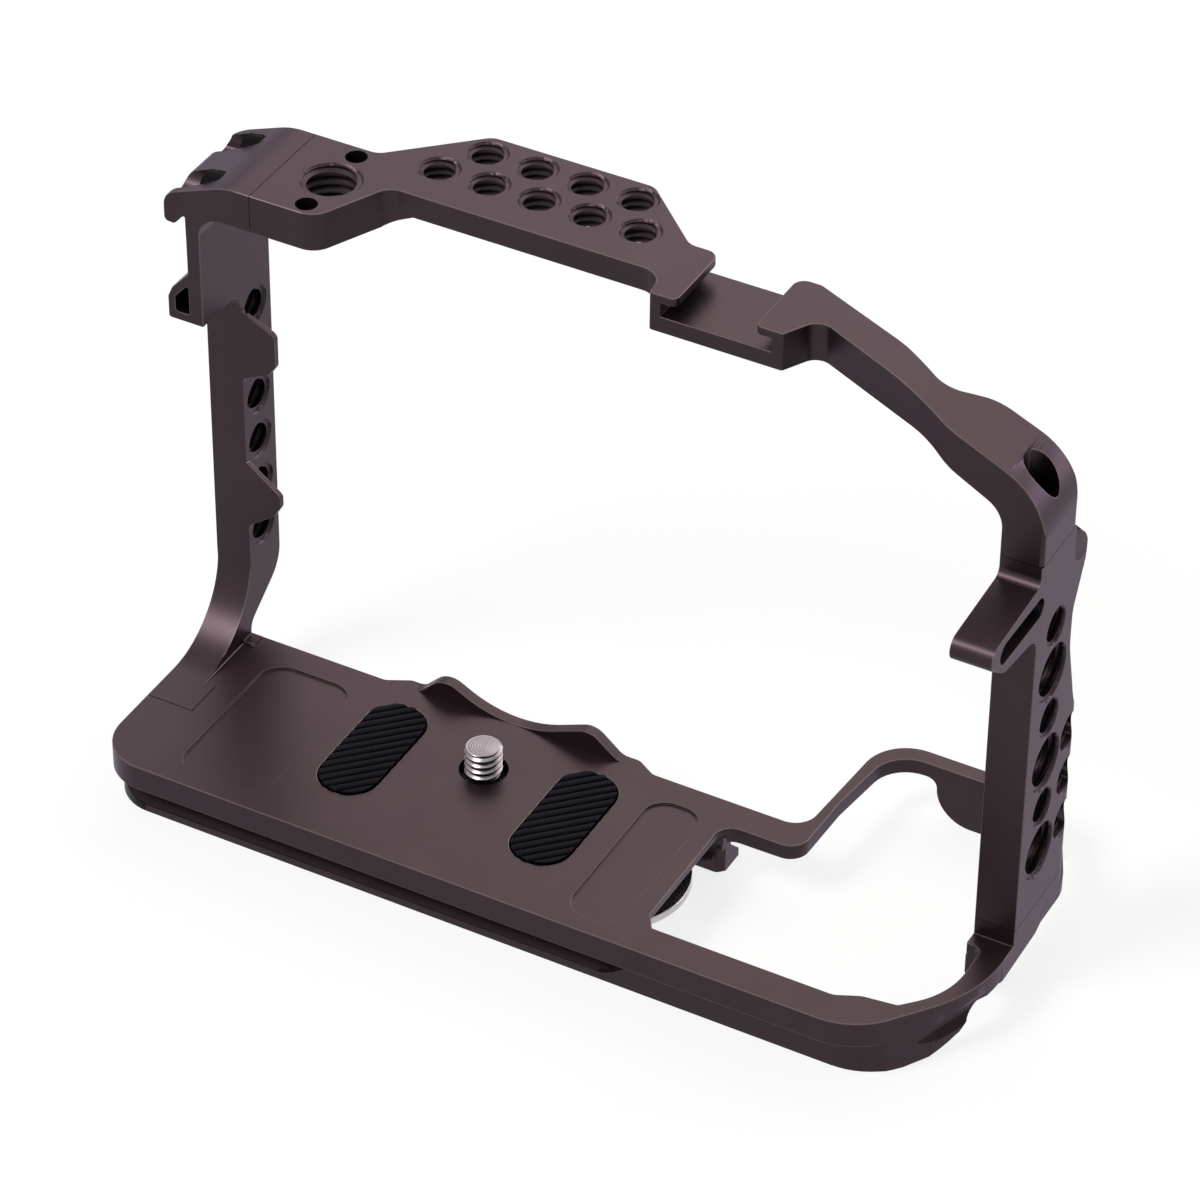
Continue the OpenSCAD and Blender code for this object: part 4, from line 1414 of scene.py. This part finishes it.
@dataclass
class RubberPad:
    """A ribbed rubber pad in its pocket.

    Attributes:
        node: The CAD node.
        x: The pad's middle.
        y: The pad's middle.
        width: Its width.
        length: Its length.
        low: Height of its underside.
        base: Height between the ribs.
        top: Height of the ribs.
        pitch: Step of the ribs along Y.
        rib: Width of a rib.
        rib_edge: Rounding of a rib's upper edges.
        trim: How far the ribs end inside the pad's outline.
    """

    node: str
    x: float
    y: float = -4.5
    width: float = 10.7
    length: float = 25.0
    low: float = -1.0
    base: float = -0.4
    top: float = 0.42
    pitch: float = 2.3
    rib: float = 1.22
    rib_edge: float = 0.36
    trim: float = 0.12

    SIDES: ClassVar[int] = 64

    def slab(self, name: str, margin: float, low: float, high: float) -> bpy.types.Object:
        """Makes a slot-ended slab from a cylinder whose halves are pulled apart.

        Args:
            name: The slab's name.
            margin: How much it is narrower than the pad all round.
            low: Its underside.
            high: Its top.

        Returns:
            The slab, round the origin in X and Y.
        """
        radius = self.width / 2 - margin
        deselect()
        bpy.ops.mesh.primitive_cylinder_add(vertices=self.SIDES, radius=radius * MM,
                                            depth=(high - low) * MM,
                                            location=(0, 0, (high + low) / 2 * MM),
                                            rotation=(0, 0, math.pi / self.SIDES))
        slab = settle(bpy.context.object)
        slab.name = name
        open_edit(slab)
        for side in (1, -1):
            pick_points(slab, lambda point, s=side: point.y * s > 0)
            bpy.ops.transform.translate(value=(0, side * (self.length - self.width) / 2 * MM, 0))
        close_edit()
        return slab

    def ribs(self) -> bpy.types.Object:
        """Lays round-topped ribs across the pad and trims them to its outline.

        Returns:
            The ribs.
        """
        sunk, across = 0.3, 26
        depth = self.top - self.base + sunk
        model = block((0, 0, self.top - depth / 2), (across, self.rib, depth))
        model.name = "rib"
        open_edit(model)
        pick_faces(model, lambda middle, normal: normal.z > 0.9)
        bpy.ops.mesh.bevel(offset=self.rib_edge * MM, segments=4, affect="EDGES")
        close_edit()
        count = math.ceil((self.length + self.width) / self.pitch / 2) + 1
        turn = Matrix.Rotation(math.radians(45), 4, "Z")
        copies = []
        for k in range(-count, count + 1):
            rib = copy_at(model, Vector((0, 0, 0)), Vector((0, 0, 1)))
            rib.matrix_world = Matrix.Translation((0, k * self.pitch * MM, 0)) @ turn
            copies.append(settle(rib))
        bpy.data.objects.remove(model)
        ribs = join(copies, "ribs")
        cut(ribs, self.slab("keep", self.trim, self.low, self.top + 1), "INTERSECT")
        bevel(ribs, 0.14, 2, 60)
        return ribs

    def build(self) -> bpy.types.Object:
        """Makes and dresses the pad, which stands for its CAD node.

        Returns:
            The pad.
        """
        ribs = self.ribs()
        base = self.slab("base", 0.0, self.low, self.base)
        bevel(base, 0.15, 2, 60)
        # Painted shade: the base between the ribs and the ribs' sides are darker than the rib tops.
        base.data.materials.append(RUBBER_PAINTED_SHADE.material())
        ribs.data.materials.clear()
        ribs.data.materials.append(RUBBER.material())
        paint(ribs, RUBBER_PAINTED_SHADE, lambda middle, normal: abs(normal.z) < 0.35)
        piece = join([base, ribs], self.node + "_ribbed")
        piece.location = (self.x * MM, self.y * MM, 0)
        settle(piece)
        shade(piece, 40)
        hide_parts(self.node)
        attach(piece, "cage")
        return piece


# ---- Coin key -----------------------------------------------------------------------------------


@dataclass
class CoinKey:
    """The coin-shaped key with its bright rim.

    Attributes:
        centre: The key's axis, X and Y.
        radius: Its radius.
        low: Height of its underside.
        top: Height of its rim's top.
        rim: Width of the bright rim.
        sink: Depth of the inlay's seat.
    """

    centre: Pair = KEY_CENTRE
    radius: float = 12.7
    low: float = -7.4
    top: float = -6.0
    rim: float = 1.55
    sink: float = 0.4

    def build(self) -> bpy.types.Object:
        """Turns and dresses the key, which stands for its CAD node.

        Returns:
            The key.
        """
        seat = self.radius - self.rim
        piece = turned("coin_key_turned", [
            (self.radius, self.low), (self.radius, self.top), (seat, self.top),
            (seat, self.top - self.sink), (0.5, self.top - self.sink)
        ], 128)
        bevel(piece, 0.3, 3, 50)
        piece.location = (self.centre[0] * MM, self.centre[1] * MM, 0)
        settle(piece)
        facing_out(piece)
        smooth(piece)
        KEY_STEEL.dress(piece)
        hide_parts("coin_key")
        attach(piece, "key")
        return piece


# ---- Joining screws -----------------------------------------------------------------------------


@dataclass
class SocketScrew:
    """A socket screw, modelled once and copied to its places.

    Attributes:
        thread: Diameter of the thread.
        head: Diameter of the head.
        length: Length of the shank.
        axis: Where the head points.
        chamfer: Size of the bevel at the tip.
    """

    thread: float
    head: float
    length: float
    axis: Triple
    chamfer: float = 0.3

    SOCKET: ClassVar[float] = 0.26  # radius of the socket, as a share of the head's diameter
    SOCKET_DEPTH: ClassVar[float] = 0.55  # its depth, as a share of the head's height

    def model(self) -> bpy.types.Object:
        """Makes the screw with its head standing on z 0 and its shank below.

        Returns:
            The screw.
        """
        tip = self.thread / 2
        screw = turned("socket_screw", [
            (tip - self.chamfer, -self.length), (tip, -self.length + self.chamfer), (tip, 0),
            (self.head / 2, 0), (self.head / 2, self.thread), (0.2, self.thread)
        ], 48)
        bevel(screw, 0.25, 2, 60)
        deselect()
        bpy.ops.mesh.primitive_cylinder_add(vertices=6, radius=self.head * self.SOCKET * MM,
                                            depth=2 * self.SOCKET_DEPTH * self.thread * MM,
                                            location=(0, 0, self.thread * MM))
        cut(screw, settle(bpy.context.object))
        return screw

    def build(self, places: dict[str, Triple]) -> list[bpy.types.Object]:
        """Puts dressed screws in their places, where they stand for their CAD nodes.

        Args:
            places: For each CAD node, the underside of the head in millimetres.

        Returns:
            The screws.
        """
        model = self.model()
        pieces = []
        for node, place in places.items():
            piece = copy_at(model, Vector(place) * MM, Vector(self.axis))
            piece.name = node + "_socket"
            shade(piece)
            # Black oxide with painted shade, for a head sitting deep in its well.
            BLACK_OXIDE_AND_SHADE.dress(piece)
            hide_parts(node)
            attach(piece, "cage")
            pieces.append(piece)
        bpy.data.objects.remove(model)
        return pieces


def joining_screws() -> list[bpy.types.Object]:
    """Makes the screws that hold the plates together.

    Returns:
        The screws of the two upper corners and of the two feet.
    """
    left, up, down = (-1, 0, 0), (0, 0, 1), (0, 0, -1)
    three = {"thread": 3, "head": 5.5}
    two_and_half = {"thread": 2.5, "head": 4.5}
    return [
        *SocketScrew(**three, length=12.2, axis=left).build({
            "top_left_screw_near": (-50.2, 6.15, 94.3), "top_left_screw_far": (-50.2, 18.15, 94.3)}),
        *SocketScrew(**three, length=12, axis=up).build({"top_right_screw": (91.27, 8.55, 80.5)}),
        *SocketScrew(**three, length=6.6, axis=down).build({
            "left_foot_screw_near": (-54.6, -5.5, -7.4), "left_foot_screw_far": (-54.6, 4.5, -7.4)}),
        *SocketScrew(**two_and_half, length=9.2, axis=down).build({
            "right_foot_screw_near": (91.6, 7.5, -0.2), "right_foot_screw_far": (91.6, 16, -0.2)}),
    ]


# ---- The whole cage -----------------------------------------------------------------------------


def main() -> None:
    """Builds every sub-assembly and the studio."""
    logging.basicConfig(level=logging.INFO, format="%(message)s")
    low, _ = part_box("base_plate")
    Studio(floor_z=low.z).build()
    pieces = [plate.build() for plate in milled_plates()]
    pieces += threads()
    pieces += [
        CameraScrew().build(),
        TrimPiece("screw_washer", "screw_carrier", NYLON, 0.1).build(),
        TrimPiece("screw_retaining_ring", "cage", SPRING, 0.12).build(),
        RubberPad("rubber_pad_left", x=-18.6).build(),
        RubberPad("rubber_pad_right", x=17.6).build(),
        CoinKey().build(),
        TrimPiece("key_inlay", "key", INLAY, 0.1).build(),
        TrimPiece("key_magnet_near", "cage", NICKEL, 0.25).build(),
        TrimPiece("key_magnet_far", "cage", NICKEL, 0.25).build(),
    ]
    pieces += joining_screws()
    for piece in pieces:
        LOG.info("%s: %d faces", piece.name, len(piece.data.polygons))


if __name__ == "__main__":
    main()
